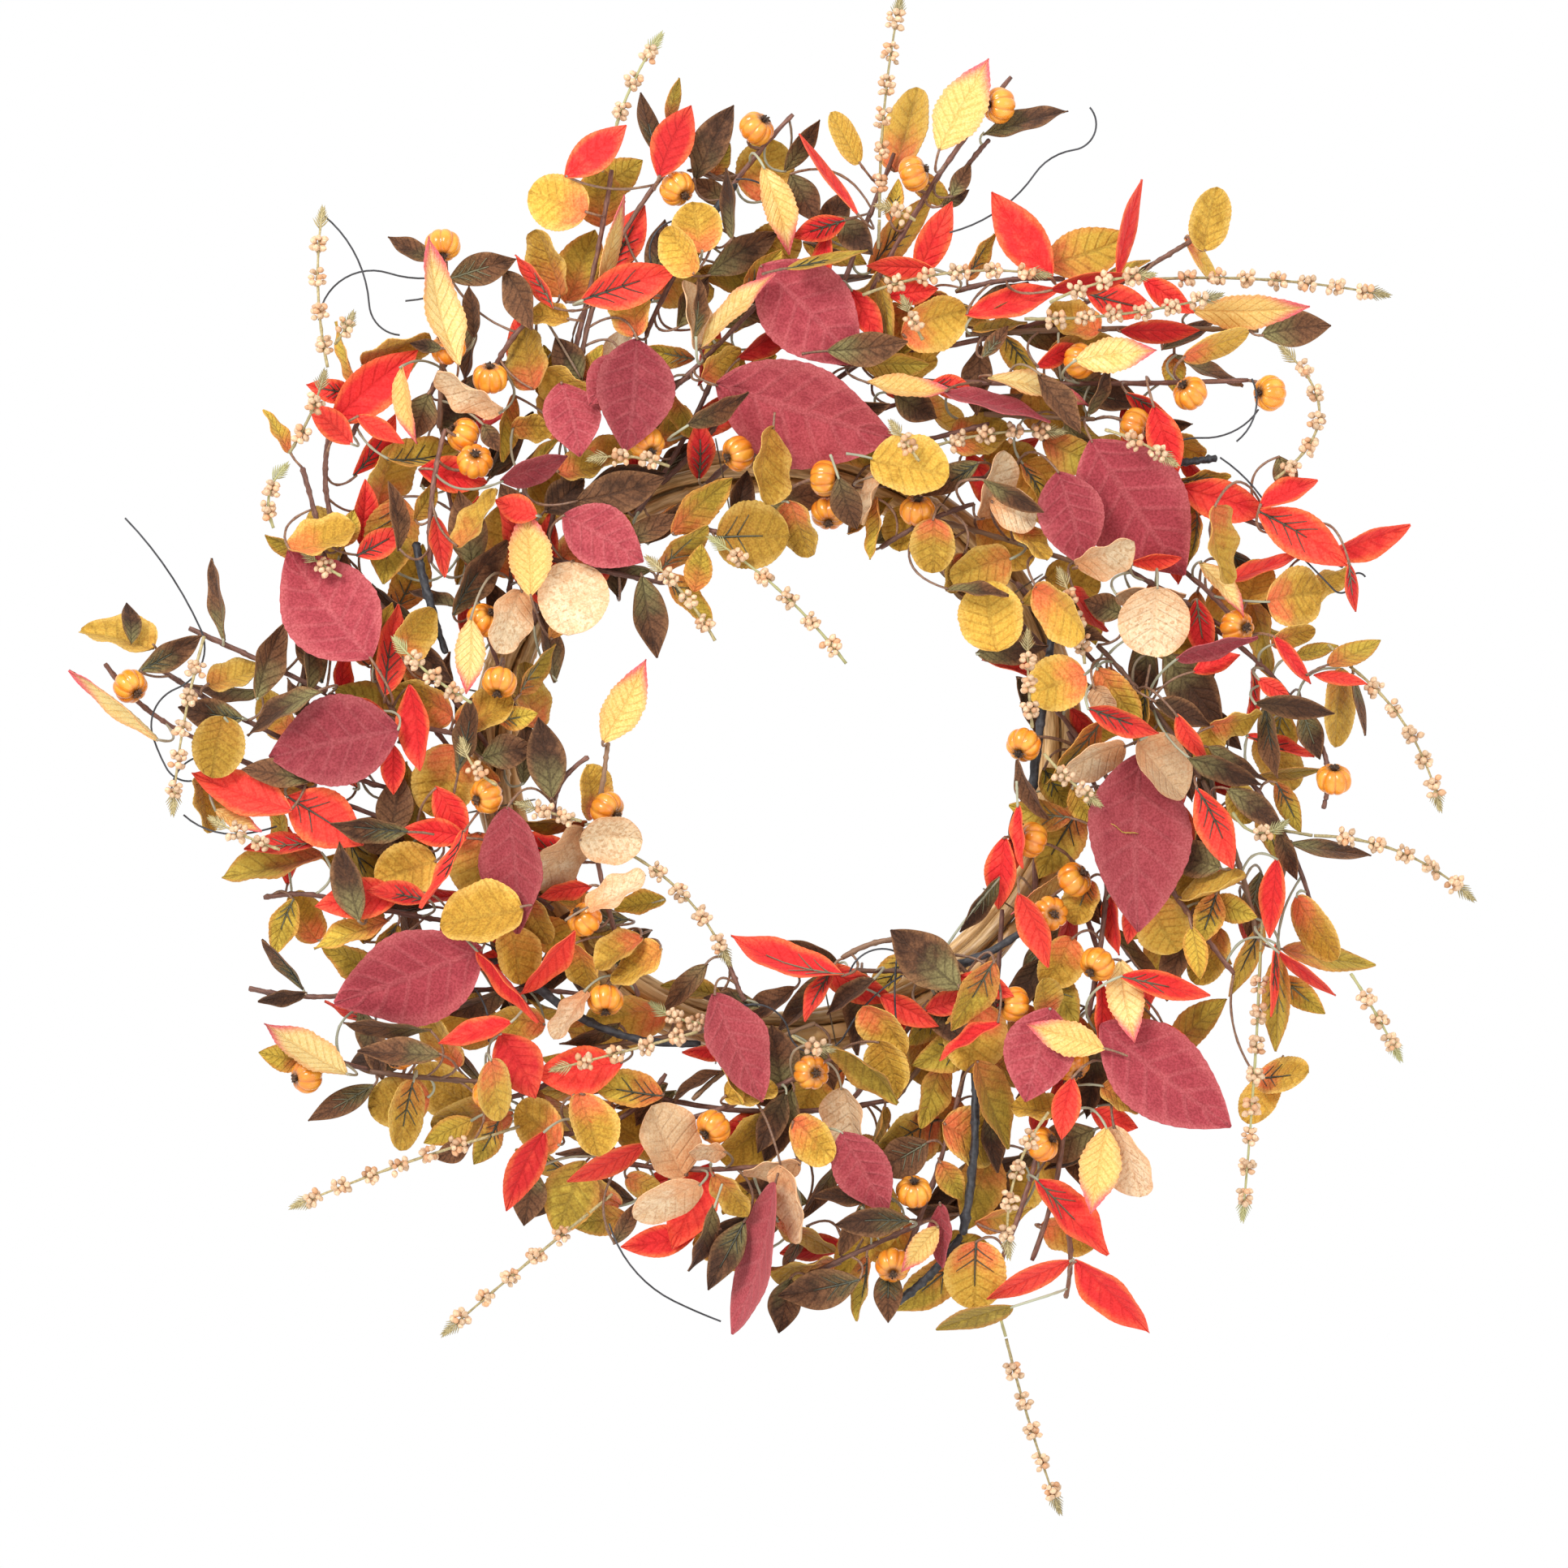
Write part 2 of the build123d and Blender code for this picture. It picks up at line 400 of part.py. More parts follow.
# A strand is three places on its stem; the free ones also bend where they leave the wreath.
FREE_STRANDS = {
    "top_left": ((-88, 322), (-79, 348), (-62, 378)),
    "top": ((54, 282), (56, 335), (65, 398)),
    "upper_right": ((200, 250), (262, 249), (322, 241)),
    "right": ((303, 45), (329, 18), (350, -30)),
    "lower_right": ((284, -45), (325, -52), (367, -78)),
    "hanging": ((256, -106), (252, -175), (246, -247)),
    "bottom": ((121, -311), (134, -358), (149, -402)),
    "bottom_left": ((-100, -245), (-136, -274), (-176, -308)),
    "lower_left": ((-152, -204), (-205, -221), (-256, -241)),
}
TIED_STRANDS = [
    ((-240, 285), (-242, 245), (-237, 202)), ((-238, 198), (-244, 178), (-256, 156)),
    ((45, 240), (90, 251), (142, 250)), ((143, 235), (170, 245), (196, 249)),
    ((130, 227), (180, 229), (232, 239)),
    ((266, 212), (285, 180), (262, 144)), ((172, 168), (190, 161), (208, 150)),
    ((80, 160), (112, 167), (150, 168)), ((-98, 153), (-78, 154), (-57, 149)),
    ((-35, 112), (-2, 87), (36, 46)),
    ((-68, 101), (-50, 83), (-33, 58)), ((-78, -55), (-50, -76), (-26, -112)),
    ((149, 95), (157, 72), (162, 46)),
    ((132, 62), (132, 35), (134, 12)), ((140, -2), (150, -13), (168, -28)),
    ((240, -33), (252, -43), (266, -38)),
    ((303, -118), (315, -138), (328, -162)), ((142, -190), (126, -218), (121, -264)),
    ((-118, -168), (-80, -158), (-42, -148)), ((-66, -134), (-50, -142), (-34, -144)),
    ((-302, 60), (-312, 15), (-318, -32)), ((-298, -36), (-282, -44), (-262, -52)),
    ((-136, -28), (-118, -33), (-103, -37)), ((-166, 5), (-160, -8), (-148, -18)),
    ((-200, 58), (-182, 40), (-160, 25)), ((-232, 214), (-227, 220), (-223, 228)),
    ((66, 238), (70, 228), (76, 216)),
    ((53, 287), (62, 284), (72, 279)), ((8, -150), (18, -155), (28, -157)),
    ((-260, 150), (-268, 135), (-266, 118)),
    ((60, 172), (66, 163), (74, 152)), ((-250, 105), (-240, 98), (-230, 92)),
]
# A pumpkin is (x, z, the way its flower end turns, how far it leans from facing forward).
# A twig, a strand or a tendril is the places that it passes through.
BLACK_TWIGS = [
    ((-80, 225), (-52, 262), (-22, 300)), ((200, 151), (217, 153), (232, 155)),
    ((149, 82), (141, 25), (134, -32)),
    ((148, -78), (112, -107), (68, -118)), ((-176, -136), (-160, -114), (-140, -112)),
    ((-138, -114), (-104, -142), (-42, -155)), ((104, -165), (104, -212), (98, -256)),
    ((97, -258), (83, -276), (64, -292)), ((-192, 110), (-186, 85), (-176, 52)),
]
TENDRILS = [
    ((-22, 302), (-10, 300), (1, 286), (3, 268)), ((-62, 250), (-66, 270), (-54, 280), (-50, 264)),
    ((234, 155), (248, 143), (262, 124), (279, 101), (294, 85), (303, 89), (311, 92)),
    ((66, -119), (50, -131), (36, -150), (22, -160), (6, -149), (-18, -135)),
    ((64, -107), (52, -105), (38, -118)),
    ((63, -110), (62, -134), (66, -162)), ((-148, -107), (-163, -103), (-165, -121), (-153, -154)),
    ((-240, 283), (-223, 262), (-216, 236), (-200, 220)),
    ((-243, 228), (-232, 248), (-206, 253), (-180, 251), (-178, 242), (-197, 238)),
    ((-345, 123), (-322, 95), (-305, 64), (-318, 33), (-330, 7), (-323, -9), (-310, -16)),
    ((-306, -3), (-319, -14), (-320, -28)), ((-314, -34), (-300, -42), (-283, -44), (-265, -40)),
    ((-89, -250), (-76, -274), (-55, -291), (-30, -302)),
    ((91, 274), (113, 283), (136, 305), (157, 318), (165, 340)),
    ((255, 181), (243, 170), (225, 166), (205, 161)), ((250, 196), (252, 180), (242, 163)),
]
TWIGS = [
    ((-165, 8), (-200, 16), (-238, 30)), ((-240, 31), (-275, 48), (-312, 65)),
    ((-195, -22), (-230, -12), (-262, 6)),
    ((-264, 7), (-300, 26), (-334, 48)), ((-180, -46), (-245, -22), (-308, 6)),
    ((-310, 7), (-335, 22), (-357, 46)),
    ((-168, -92), (-200, -86), (-230, -80)), ((-232, -80), (-252, -76), (-272, -78)),
    ((-160, -117), (-195, -126), (-228, -130)), ((-230, -130), (-255, -130), (-280, -126)),
    ((-140, -176), (-180, -174), (-216, -170)), ((-218, -169), (-240, -162), (-262, -150)),
    ((-100, -160), (-125, -178), (-150, -186)), ((-60, -172), (-95, -200), (-128, -202)),
    ((30, -163), (-10, -182), (-46, -195)), ((62, -186), (-15, -192), (-90, -178)),
    ((25, -214), (-30, -222), (-95, -216)),
    ((100, -168), (84, -225), (60, -284)), ((88, -245), (50, -262), (16, -278)),
    ((150, -140), (152, -200), (135, -270)),
    ((140, -205), (130, -240), (118, -272)), ((148, -232), (155, -262), (153, -290)),
    ((170, -150), (180, -175), (178, -200)),
    ((176, -60), (172, -100), (165, -142)), ((170, 56), (198, 24), (224, -14)),
    ((226, -16), (244, -58), (254, -98)),
    ((205, 78), (252, 50), (282, 14)), ((284, 12), (292, -8), (290, -30)),
    ((232, 6), (262, -32), (286, -92)),
    ((205, -68), (222, -92), (242, -118)), ((160, 110), (200, 88), (236, 66)),
    ((190, 112), (225, 88), (250, 60)),
    ((205, 140), (250, 122), (300, 98)), ((215, 136), (255, 130), (290, 118)),
    ((100, 221), (180, 224), (255, 223)),
    ((75, 197), (160, 195), (250, 197)), ((60, 213), (130, 225), (185, 250)),
    ((187, 251), (202, 260), (222, 272)),
    ((95, 244), (125, 250), (152, 250)), ((110, 179), (140, 177), (168, 176)),
    ((50, 245), (82, 300), (124, 358)),
    ((92, 298), (102, 312), (112, 324)), ((22, 215), (40, 262), (62, 318)),
    ((-62, 186), (-25, 222), (8, 258)),
    ((-70, 222), (-35, 285), (8, 338)), ((-108, 212), (-96, 262), (-88, 308)),
    ((-104, 210), (-88, 262), (-60, 306)),
    ((-180, 172), (-178, 212), (-176, 250)), ((-188, 184), (-180, 200), (-172, 216)),
    ((-226, 168), (-218, 186), (-212, 204)),
    ((-150, 204), (-138, 222), (-122, 236)), ((-184, 100), (-182, 140), (-176, 170)),
    ((-74, -130), (-88, -90), (-98, -42)),
    ((-97, -40), (-93, -18), (-90, 4)), ((-118, -40), (-118, -25), (-101, -4)),
    ((-124, 103), (-100, 97), (-60, 89)),
    ((-52, 128), (-28, 116), (-2, 134)), ((55, 108), (80, 122), (104, 131)),
    ((-215, 46), (-208, 28), (-203, 20)),
    ((-240, 100), (-246, 128), (-252, 150)), ((-236, 120), (-240, 145), (-238, 166)),
    ((10, -118), (50, -117), (94, -118)),
    ((-28, -106), (-24, -118), (-18, -132)), ((35, -110), (65, -100), (100, -118)),
]


# ---------------------------------------------------------------- laying the pieces out

SHIFTS = (0, -4, 4, -8, 8, -12, 12, -16, 16, -20, 20, -24, 24, 28, 32)
FILLERS = 420
SECTORS = ("right", "upper_right", "top", "upper_left", "left", "lower_left", "bottom", "lower_right")

# Width over length, oval or pointed, and the depth a kind of leaf likes best
LEAVES = {
    "burgundy": (BURGUNDY, 0.66, False, 54),
    "cream": (CREAM, 0.85, True, 50),
    "yellow": (YELLOW, 0.38, False, 50),
    "red": (RED, 0.44, False, 48),
    "olive_oval": (OLIVE_OVAL, 0.85, True, 44),
    "brown": (BROWN, 0.44, False, 42),
    "olive_pointed": (OLIVE_POINTED, 0.55, False, 38),
}

room = Room()
skipped = {}


def depths_fit(shape):
    depths = -shape["points"][:, 1]
    return depths.min() > BACK_DEPTH and depths.max() < FRONT_DEPTH


def try_shape(shape, leave_out=()):
    """Place a shape if it has room."""
    if depths_fit(shape) and room.clear(shape, leave_out):
        room.add(shape)
        return True
    return False


def lay_wire(kind, places, diameter, depth, rise=4.0):
    """Find the free depth nearest to the wanted one for a wire that bows a little forward."""
    for shift in SHIFTS:
        depths = (depth + shift, depth + shift + 3 + rise / 2, depth + shift + rise)
        points = [place(x, z, d) for (x, z), d in zip(places, depths)]
        if try_shape(wire_room(arc_points(*points), diameter)):
            return points
    skipped[kind] = skipped.get(kind, 0) + 1
    return None


def lay_leaf(kind, x, z, heading, length, seen, depth):
    """Find the free depth and tilt nearest to the wanted ones for a leaf."""
    ratio, oval = LEAVES[kind][1:3]
    length, seen = length * LEAF_FULLNESS, seen * LEAF_FULLNESS
    width = max(ratio * length, seen)
    turn = min(72, math.degrees(math.acos(seen / width))) + chance.uniform(2, 9)
    pitch, side = chance.uniform(-16, 16), chance.choice((-1, 1))
    for shift in SHIFTS:
        for more_pitch, more_roll, way in ((0, 0, side), (0, 0, -side), (16, 8, side), (-16, -6, -side)):
            tilt = leaf_plane(place(x, z, depth + shift), heading, pitch + more_pitch, way * turn + more_roll)
            plane = Plane(origin=tilt.origin - tilt.x_dir * length / 2, x_dir=tilt.x_dir, z_dir=tilt.z_dir)
            if try_shape(leaf_room(plane, length, width, oval)):
                return plane, length, width, oval, len(room.taken) - 1
    skipped[kind] = skipped.get(kind, 0) + 1
    return None


def tie(start, away, own, twigs, reach=62):
    """A stalk from a piece to the nearest free twig, or a short wire end where no twig is near."""
    samples, owners = twigs
    distance = np.linalg.norm(samples - start, axis=1)
    for n in np.argsort(distance)[:60:2]:
        if not 5 < distance[n] < reach:
            continue
        end = samples[n] - unit(samples[n] - start) * (TWIG_DIAMETER / 2 - 0.4)
        for bow in (0.3, 0.12):
            middle = (start + end) / 2 + away * bow * distance[n]
            shape = wire_room(arc_points(start, middle, end), STALK_DIAMETER)
            if try_shape(shape, (own, owners[n])):
                return [start, middle, end]
    for length in (14, 9, 6):
        end = start + away * length
        middle = (start + end) / 2 + np.array([0, 0.4, 0.4])
        if try_shape(wire_room(arc_points(start, middle, end), STALK_DIAMETER), (own,)):
            return [start, middle, end]
    skipped["stalk"] = skipped.get("stalk", 0) + 1
    return None


def turned(points, hinge, axis, angle):
    """Points turned about a hinge."""
    a = math.radians(angle)
    arm = points - hinge
    swung = arm * math.cos(a) + np.cross(axis, arm) * math.sin(a)
    swung += np.outer(arm @ axis, axis) * (1 - math.cos(a))
    return hinge + swung


def berry_places(points):
    """Where the berries sit along a strand: clusters of three rings of four."""
    path = arc_points(*points, spacing=0.7)
    along = np.concatenate([[0], np.cumsum(np.linalg.norm(np.diff(path, axis=0), axis=1))])
    clusters = max(1, round((along[-1] - 8) / BERRY_PITCH))
    places = []
    for c in range(clusters):
        for ring in range(3):
            reach = 7 + (along[-1] - 12) * (c + 0.6) / clusters + (ring - 1) * BERRY_SPACING
            n = int(np.clip(np.searchsorted(along, reach), 1, len(path) - 2))
            forward = unit(path[n + 1] - path[n - 1])
            side = unit(np.cross(forward, (0, 1, 0.1)))
            up = np.cross(side, forward)
            for turn in range(4):
                a = math.radians(90 * turn + 45 * ring + 40 * c)
                places.append(path[n] + BERRY_SEAT * (side * math.cos(a) + up * math.sin(a)))
    return places


# Ring, binding and eye take their room first.
room.add(wire_room([on_ring(RING_RADIUS, a, 0) for a in np.arange(0, 360, 1.5)], 2 * BUNDLE_RADIUS))
binding_angles = [90 + 360 / BINDING_COUNT * (n + 0.5) for n in range(BINDING_COUNT)]
around = np.linspace(0, 2 * np.pi, 100, endpoint=False)
for angle in binding_angles:
    loop = [
        on_ring(RING_RADIUS + BINDING_RADIUS * math.cos(t), angle, BINDING_FORWARD + BINDING_RADIUS * math.sin(t))
        for t in around
    ]
    room.add(wire_room(loop, BINDING_WIRE))
yoke_middle = RING_RADIUS + YOKE_RISE
loop = [on_ring(yoke_middle + YOKE_RADIUS * math.cos(t), 90, YOKE_RADIUS * math.sin(t)) for t in around]
room.add(wire_room(loop, HANGER_WIRE))
swing = [place(26 * math.cos(t), YOKE_TOP + 26 * math.sin(t), 0) for t in around]
room.add({"points": np.array(swing), "radius": 1.0, "normal": np.array([0.0, 1.0, 0.0])})
room.add(wire_room([place(0, EYE_CENTRE, d) for d in range(-14, 18, 4)], 16))

# Free strands keep the room that they swing through.
free, hinges = {}, {}
for name, places in FREE_STRANDS.items():
    points = [place(x, z, d) for (x, z), d in zip(places, (40, 44, 45))]
    heading = unit(points[1] - points[0])
    axis = unit(np.array([heading[2], 0, -heading[0]]))
    free[name], hinges[name] = points, (points[0], axis)
    path = arc_points(*points)
    for angle in np.linspace(-BEND_BACK, BEND_FORWARD, 9):
        room.add(wire_room(turned(path, points[0], axis, angle), 2 * BERRY_SEAT + BERRY_DIAMETER + 0.6))
    root = arc_points(points[0] - heading * 16, points[0] - heading * 8 + np.array([0, 0.5, 0]), points[0])
    room.add(wire_room(root, STRAND_DIAMETER))

pumpkins = []
for x, z, heading, lean in PUMPKINS:
    h, tilt = math.radians(heading), math.radians(lean)
    axis = np.array([math.sin(tilt) * math.cos(h), -math.cos(tilt), math.sin(tilt) * math.sin(h)])
    for shift in SHIFTS:
        middle = place(x, z, 47 + shift)
        if try_shape({"points": middle[None], "radius": PUMPKIN_RADIUS + 0.2}):
            pumpkins.append((middle, axis, len(room.taken) - 1))
            break
    else:
        skipped["pumpkin"] = skipped.get("pumpkin", 0) + 1

black_twigs = [w for w in (lay_wire("black", p, BLACK_TWIG, 36) for p in BLACK_TWIGS) if w]
tendrils = []
for places in TENDRILS:
    for shift in SHIFTS:
        points = [place(x, z, 46 + shift + 2.5 * math.sin(1.7 * n)) for n, (x, z) in enumerate(places)]
        with BuildLine() as curl:
            last = ThreePointArc(*[tuple(p) for p in points[:3]])
            for point in points[3:]:
                last = TangentArc(last @ 1, tuple(point), tangent=last % 1)
        path = curl.wire()
        route = np.array([tuple(path @ t) for t in np.linspace(0, 1, int(path.length / WIRE_SAMPLE) + 2)])
        if try_shape(wire_room(route, TENDRIL)):
            tendrils.append(points)
            break
    else:
        skipped["tendril"] = skipped.get("tendril", 0) + 1

# Twigs: those bound to the ring start under the binding and run out the same way round.
twigs = []
for n in range(46):
    angle = 90 - 360 / 46 * n
    start_radius, end_radius = (147, 156)[n % 2], chance.uniform(186, 232)
    places = [(start_radius, angle), (start_radius + 0.3 * (end_radius - start_radius), angle - 12),
              (end_radius, angle - chance.uniform(21, 29))]
    points = [on_ring(r, a, d) for (r, a), d in zip(places, (17.5, 22, chance.uniform(24, 32)))]
    if try_shape(wire_room(arc_points(*points), TWIG_DIAMETER)):
        twigs.append((points, len(room.taken) - 1))
    else:
        skipped["bound twig"] = skipped.get("bound twig", 0) + 1
for places in TWIGS:
    points = lay_wire("twig", places, TWIG_DIAMETER, 33)
    if points:
        twigs.append((points, len(room.taken) - 1))
samples = [arc_points(*points, spacing=2.5) for points, _ in twigs]
owners = np.concatenate([np.full(len(s), owner) for s, (_, owner) in zip(samples, twigs)])
twig_samples = (np.concatenate(samples), owners)

# Leaves
leaves = {kind: [] for kind in LEAVES}
for kind in LEAVES:
    rows, ratio, oval, depth = LEAVES[kind]
    for x, z, heading, length, seen in rows:
        found = lay_leaf(kind, x, z, heading, length, seen, depth + chance.uniform(-4, 4))
        if found:
            leaves[kind].append(found)

tied = [lay_wire("tied strand", p, 2 * BERRY_SEAT + BERRY_DIAMETER, 48) for p in TIED_STRANDS]
tied = [points for points in tied if points]

# More leaves fill the depth of the wreath behind the ones seen first.
for n in range(FILLERS):
    kind = chance.choice(("brown", "brown", "olive_pointed", "olive_oval", "red"))
    angle = 2527 * n / FILLERS + chance.uniform(-3, 3)
    radius = chance.choice((135, 165, 182, 200, 218, 236, 254, 268))
    x, z = radius * math.cos(math.radians(angle)), radius * math.sin(math.radians(angle))
    length = chance.uniform(26, 40)
    seen = length * LEAVES[kind][1] * chance.uniform(0.5, 0.97)
    found = lay_leaf(kind, x, z, angle - 90 + chance.uniform(-20, 75), length, seen, chance.uniform(16, 34))
    if found:
        leaves[kind].append(found)

# Stalks tie leaves and pumpkins to the twigs.
leaf_stalks, pumpkin_stalks = [], []
for middle, axis, own in pumpkins:
    stalk = tie(middle - axis * (PUMPKIN_HEIGHT / 2 - 2.2), -axis, own, twig_samples)
    if stalk:
        pumpkin_stalks.append(stalk)
for kind in LEAVES:
    for plane, length, width, oval, own in leaves[kind]:
        along = np.array(tuple(plane.x_dir))
        stalk = tie(np.array(tuple(plane.origin)) + along * 0.9, -along, own, twig_samples)
        if stalk:
            leaf_stalks.append(stalk)

print("left out:", skipped)
print("leaves:", {kind: len(found) for kind, found in leaves.items()})
print("twigs:", len(twigs), "stalks:", len(leaf_stalks))
for name, (hinge, axis) in hinges.items():
    print("hinge", name, np.round(hinge, 3).tolist(), np.round(axis, 5).tolist())


# ---------------------------------------------------------------- the solids themselves

os.makedirs("parts", exist_ok=True)
ring_centre = place(0, 0, 0)

with BuildPart() as vine_core:
    with BuildLine(Plane(origin=tuple(ring_centre), x_dir=(1, 0, 0), z_dir=(0, -1, 0))):
        core_path = CenterArc((0, 0), RING_RADIUS, 12, CANE_TURN)
    with BuildSketch(Plane(origin=core_path @ 0, z_dir=core_path % 0)):
        Circle(CANE_DIAMETER / 2)
    sweep(path=core_path)
write("vine_core", [vine_core.part])

for k in range(CANE_COUNT):
    turn = math.radians(360 / CANE_COUNT * k)
    lay = math.asin(CANE_LAY / RING_RADIUS)
    out = np.array([math.cos(turn), 0, math.sin(turn)])
    across = np.array([-math.sin(turn), 0, math.cos(turn)])
    facing = np.array([0, -math.cos(lay), 0]) + across * math.sin(lay)
    cane_plane = Plane(origin=tuple(ring_centre + CANE_LAY * out), x_dir=tuple(out), z_dir=tuple(facing))
    with BuildPart() as vine_cane:
        with BuildLine(cane_plane):
            cane_path = CenterArc((0, 0), RING_RADIUS, 55 * k, CANE_TURN)
        with BuildSketch(Plane(origin=cane_path @ 0, z_dir=cane_path % 0)):
            Circle(CANE_DIAMETER / 2)
        sweep(path=cane_path)
    write(f"vine_cane_{k + 1}", [vine_cane.part])

binding = []
for angle in binding_angles:
    a = math.radians(angle)
    loop_plane = Plane(
        origin=tuple(on_ring(RING_RADIUS, angle, BINDING_FORWARD)),
        x_dir=(math.cos(a), 0, math.sin(a)),
        z_dir=(-math.sin(a), 0, math.cos(a)),
    )
    with BuildPart() as binding_loop:
        side = loop_plane.origin + loop_plane.x_dir * BINDING_RADIUS
        with BuildSketch(Plane(origin=side, x_dir=loop_plane.x_dir, z_dir=loop_plane.y_dir)):
            Circle(BINDING_WIRE / 2)
        revolve(axis=Axis(loop_plane.origin, loop_plane.z_dir))
    binding.append(binding_loop.part)
write("binding_wire", binding)

with BuildPart() as hanger_yoke:
    with Locations(Plane(origin=tuple(on_ring(RING_RADIUS + YOKE_RISE, 90, 0)), z_dir=(1, 0, 0))):
        Torus(YOKE_RADIUS, HANGER_WIRE / 2)
write("hanger_yoke", [hanger_yoke.part])

with BuildPart() as hanger_eye:
    with Locations(Plane(origin=tuple(on_ring(EYE_CENTRE, 90, 0)), z_dir=(0, 1, 0))):
        Torus(EYE_RADIUS, HANGER_WIRE / 2)
write("hanger_eye", [hanger_eye.part])

for kind, found in leaves.items():
    write(f"leaves_{kind}", [leaf_blade(*leaf[:4]) for leaf in found])

sectors = {sector: [] for sector in SECTORS}
for points, _ in twigs:
    x, _, z = points[1] - ring_centre
    sectors[SECTORS[round(math.degrees(math.atan2(z, x)) / 45) % 8]].append(rod(points, TWIG_DIAMETER))
for sector, solids in sectors.items():
    write(f"twigs_{sector}", solids)
write("leaf_stalks", [rod(points, STALK_DIAMETER) for points in leaf_stalks])

fruit, flower = little_pumpkin(), withered_flower()
stood = [Plane(origin=tuple(middle), z_dir=tuple(axis)).location for middle, axis, _ in pumpkins]
write("pumpkins", [fruit.moved(where) for where in stood])
write("pumpkin_flowers", [flower.moved(where) for where in stood])
write("pumpkin_stalks", [rod(points, STALK_DIAMETER) for points in pumpkin_stalks])

write("black_twigs", [rod(points, BLACK_TWIG) for points in black_twigs])
write("black_tendrils", [rod(points, TENDRIL) for points in tendrils])

with BuildPart() as berry:
    Sphere(BERRY_DIAMETER / 2)
write("berry_stems", [rod(points, STRAND_DIAMETER) for points in tied])
write("berries", [berry.part.moved(Location(tuple(p))) for points in tied for p in berry_places(points)])

roots = []
for name, points in free.items():
    heading = unit(points[1] - points[0])
    gap = heading * BEND_GAP / 2
    lift = np.array([0, 0.5, 0])
    route = [points[0] - heading * 16, points[0] - heading * 8 + lift, points[0] - gap]
    roots.append(rod(route, STRAND_DIAMETER))
    strand = [points[0] + gap, points[1], points[2]]
    write(f"strand_{name}_stem", [rod(strand, STRAND_DIAMETER)])
    write(f"strand_{name}_berries", [berry.part.moved(Location(tuple(p))) for p in berry_places(strand)])
write("strand_roots", roots)
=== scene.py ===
"""Harvest door wreath: veined leaves, ribbed little pumpkins, berry strands and canes on the CAD frame."""

import json
import math

import bpy
import numpy as np
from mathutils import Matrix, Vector, noise

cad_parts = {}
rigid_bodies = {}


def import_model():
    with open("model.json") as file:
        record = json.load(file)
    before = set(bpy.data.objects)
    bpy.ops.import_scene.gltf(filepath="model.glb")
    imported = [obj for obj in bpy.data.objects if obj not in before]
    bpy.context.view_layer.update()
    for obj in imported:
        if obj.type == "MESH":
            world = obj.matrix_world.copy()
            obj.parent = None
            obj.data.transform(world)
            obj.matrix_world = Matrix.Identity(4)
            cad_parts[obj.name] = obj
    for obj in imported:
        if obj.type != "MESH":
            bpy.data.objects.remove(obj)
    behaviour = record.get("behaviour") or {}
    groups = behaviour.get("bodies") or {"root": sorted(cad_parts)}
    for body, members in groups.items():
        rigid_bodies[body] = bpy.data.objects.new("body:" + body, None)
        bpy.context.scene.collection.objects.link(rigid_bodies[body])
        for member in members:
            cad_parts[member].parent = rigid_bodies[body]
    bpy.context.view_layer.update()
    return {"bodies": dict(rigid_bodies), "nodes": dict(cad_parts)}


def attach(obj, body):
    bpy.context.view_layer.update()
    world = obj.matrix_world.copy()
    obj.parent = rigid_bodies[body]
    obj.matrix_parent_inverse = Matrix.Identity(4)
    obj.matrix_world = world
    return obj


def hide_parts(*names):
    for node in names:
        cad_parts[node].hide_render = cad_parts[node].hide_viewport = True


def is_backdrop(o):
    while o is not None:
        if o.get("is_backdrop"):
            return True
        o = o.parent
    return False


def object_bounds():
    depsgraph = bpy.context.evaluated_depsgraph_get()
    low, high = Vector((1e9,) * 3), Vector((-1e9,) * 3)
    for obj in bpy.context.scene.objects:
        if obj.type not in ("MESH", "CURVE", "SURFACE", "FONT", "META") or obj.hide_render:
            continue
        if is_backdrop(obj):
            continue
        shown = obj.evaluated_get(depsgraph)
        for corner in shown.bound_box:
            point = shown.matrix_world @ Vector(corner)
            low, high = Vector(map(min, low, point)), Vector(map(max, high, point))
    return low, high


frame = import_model()
rng = np.random.default_rng(5)

MM = 0.001
EYE_TOP = 194.45 * MM  # from the ring's centre up to the row's origin
FRONT = np.array([0.0, -1.0, 0.0])
RING_CENTRE = np.array([0.0, 0.0, -EYE_TOP])
RING_RADIUS = 152 * MM

CANE_RADIUS = 3.95 * MM
TWIG_RADIUS = 1.42 * MM
BLACK_RADIUS = 2.45 * MM
STALK_RADIUS = 0.72 * MM
STRAND_RADIUS = 0.85 * MM
BERRY_RADIUS = 1.6 * MM
PUMPKIN_RADIUS = 9.75 * MM
PUMPKIN_HALF_HEIGHT = 7.7 * MM
PUMPKIN_LOBES = 8
SEPALS = 7
NEEDLES = 15  # at the ferny tip of a strand
STALK_NODES = 9 * MM  # from one swelling of a stalk to the next, and so on for the stems below
STRAND_NODES = 8 * MM
TWIG_NODES = 12 * MM
BLACK_NODES = 17 * MM
CANE_NODES = 61 * MM
TURN = 2 * math.pi
ANY_ANGLE = 6.28  # a whole turn, for a random angle
MAP_UNIT = 0.01  # the length of stem in one unit of its flat map


# ---------------------------------------------------------------- reading the frame


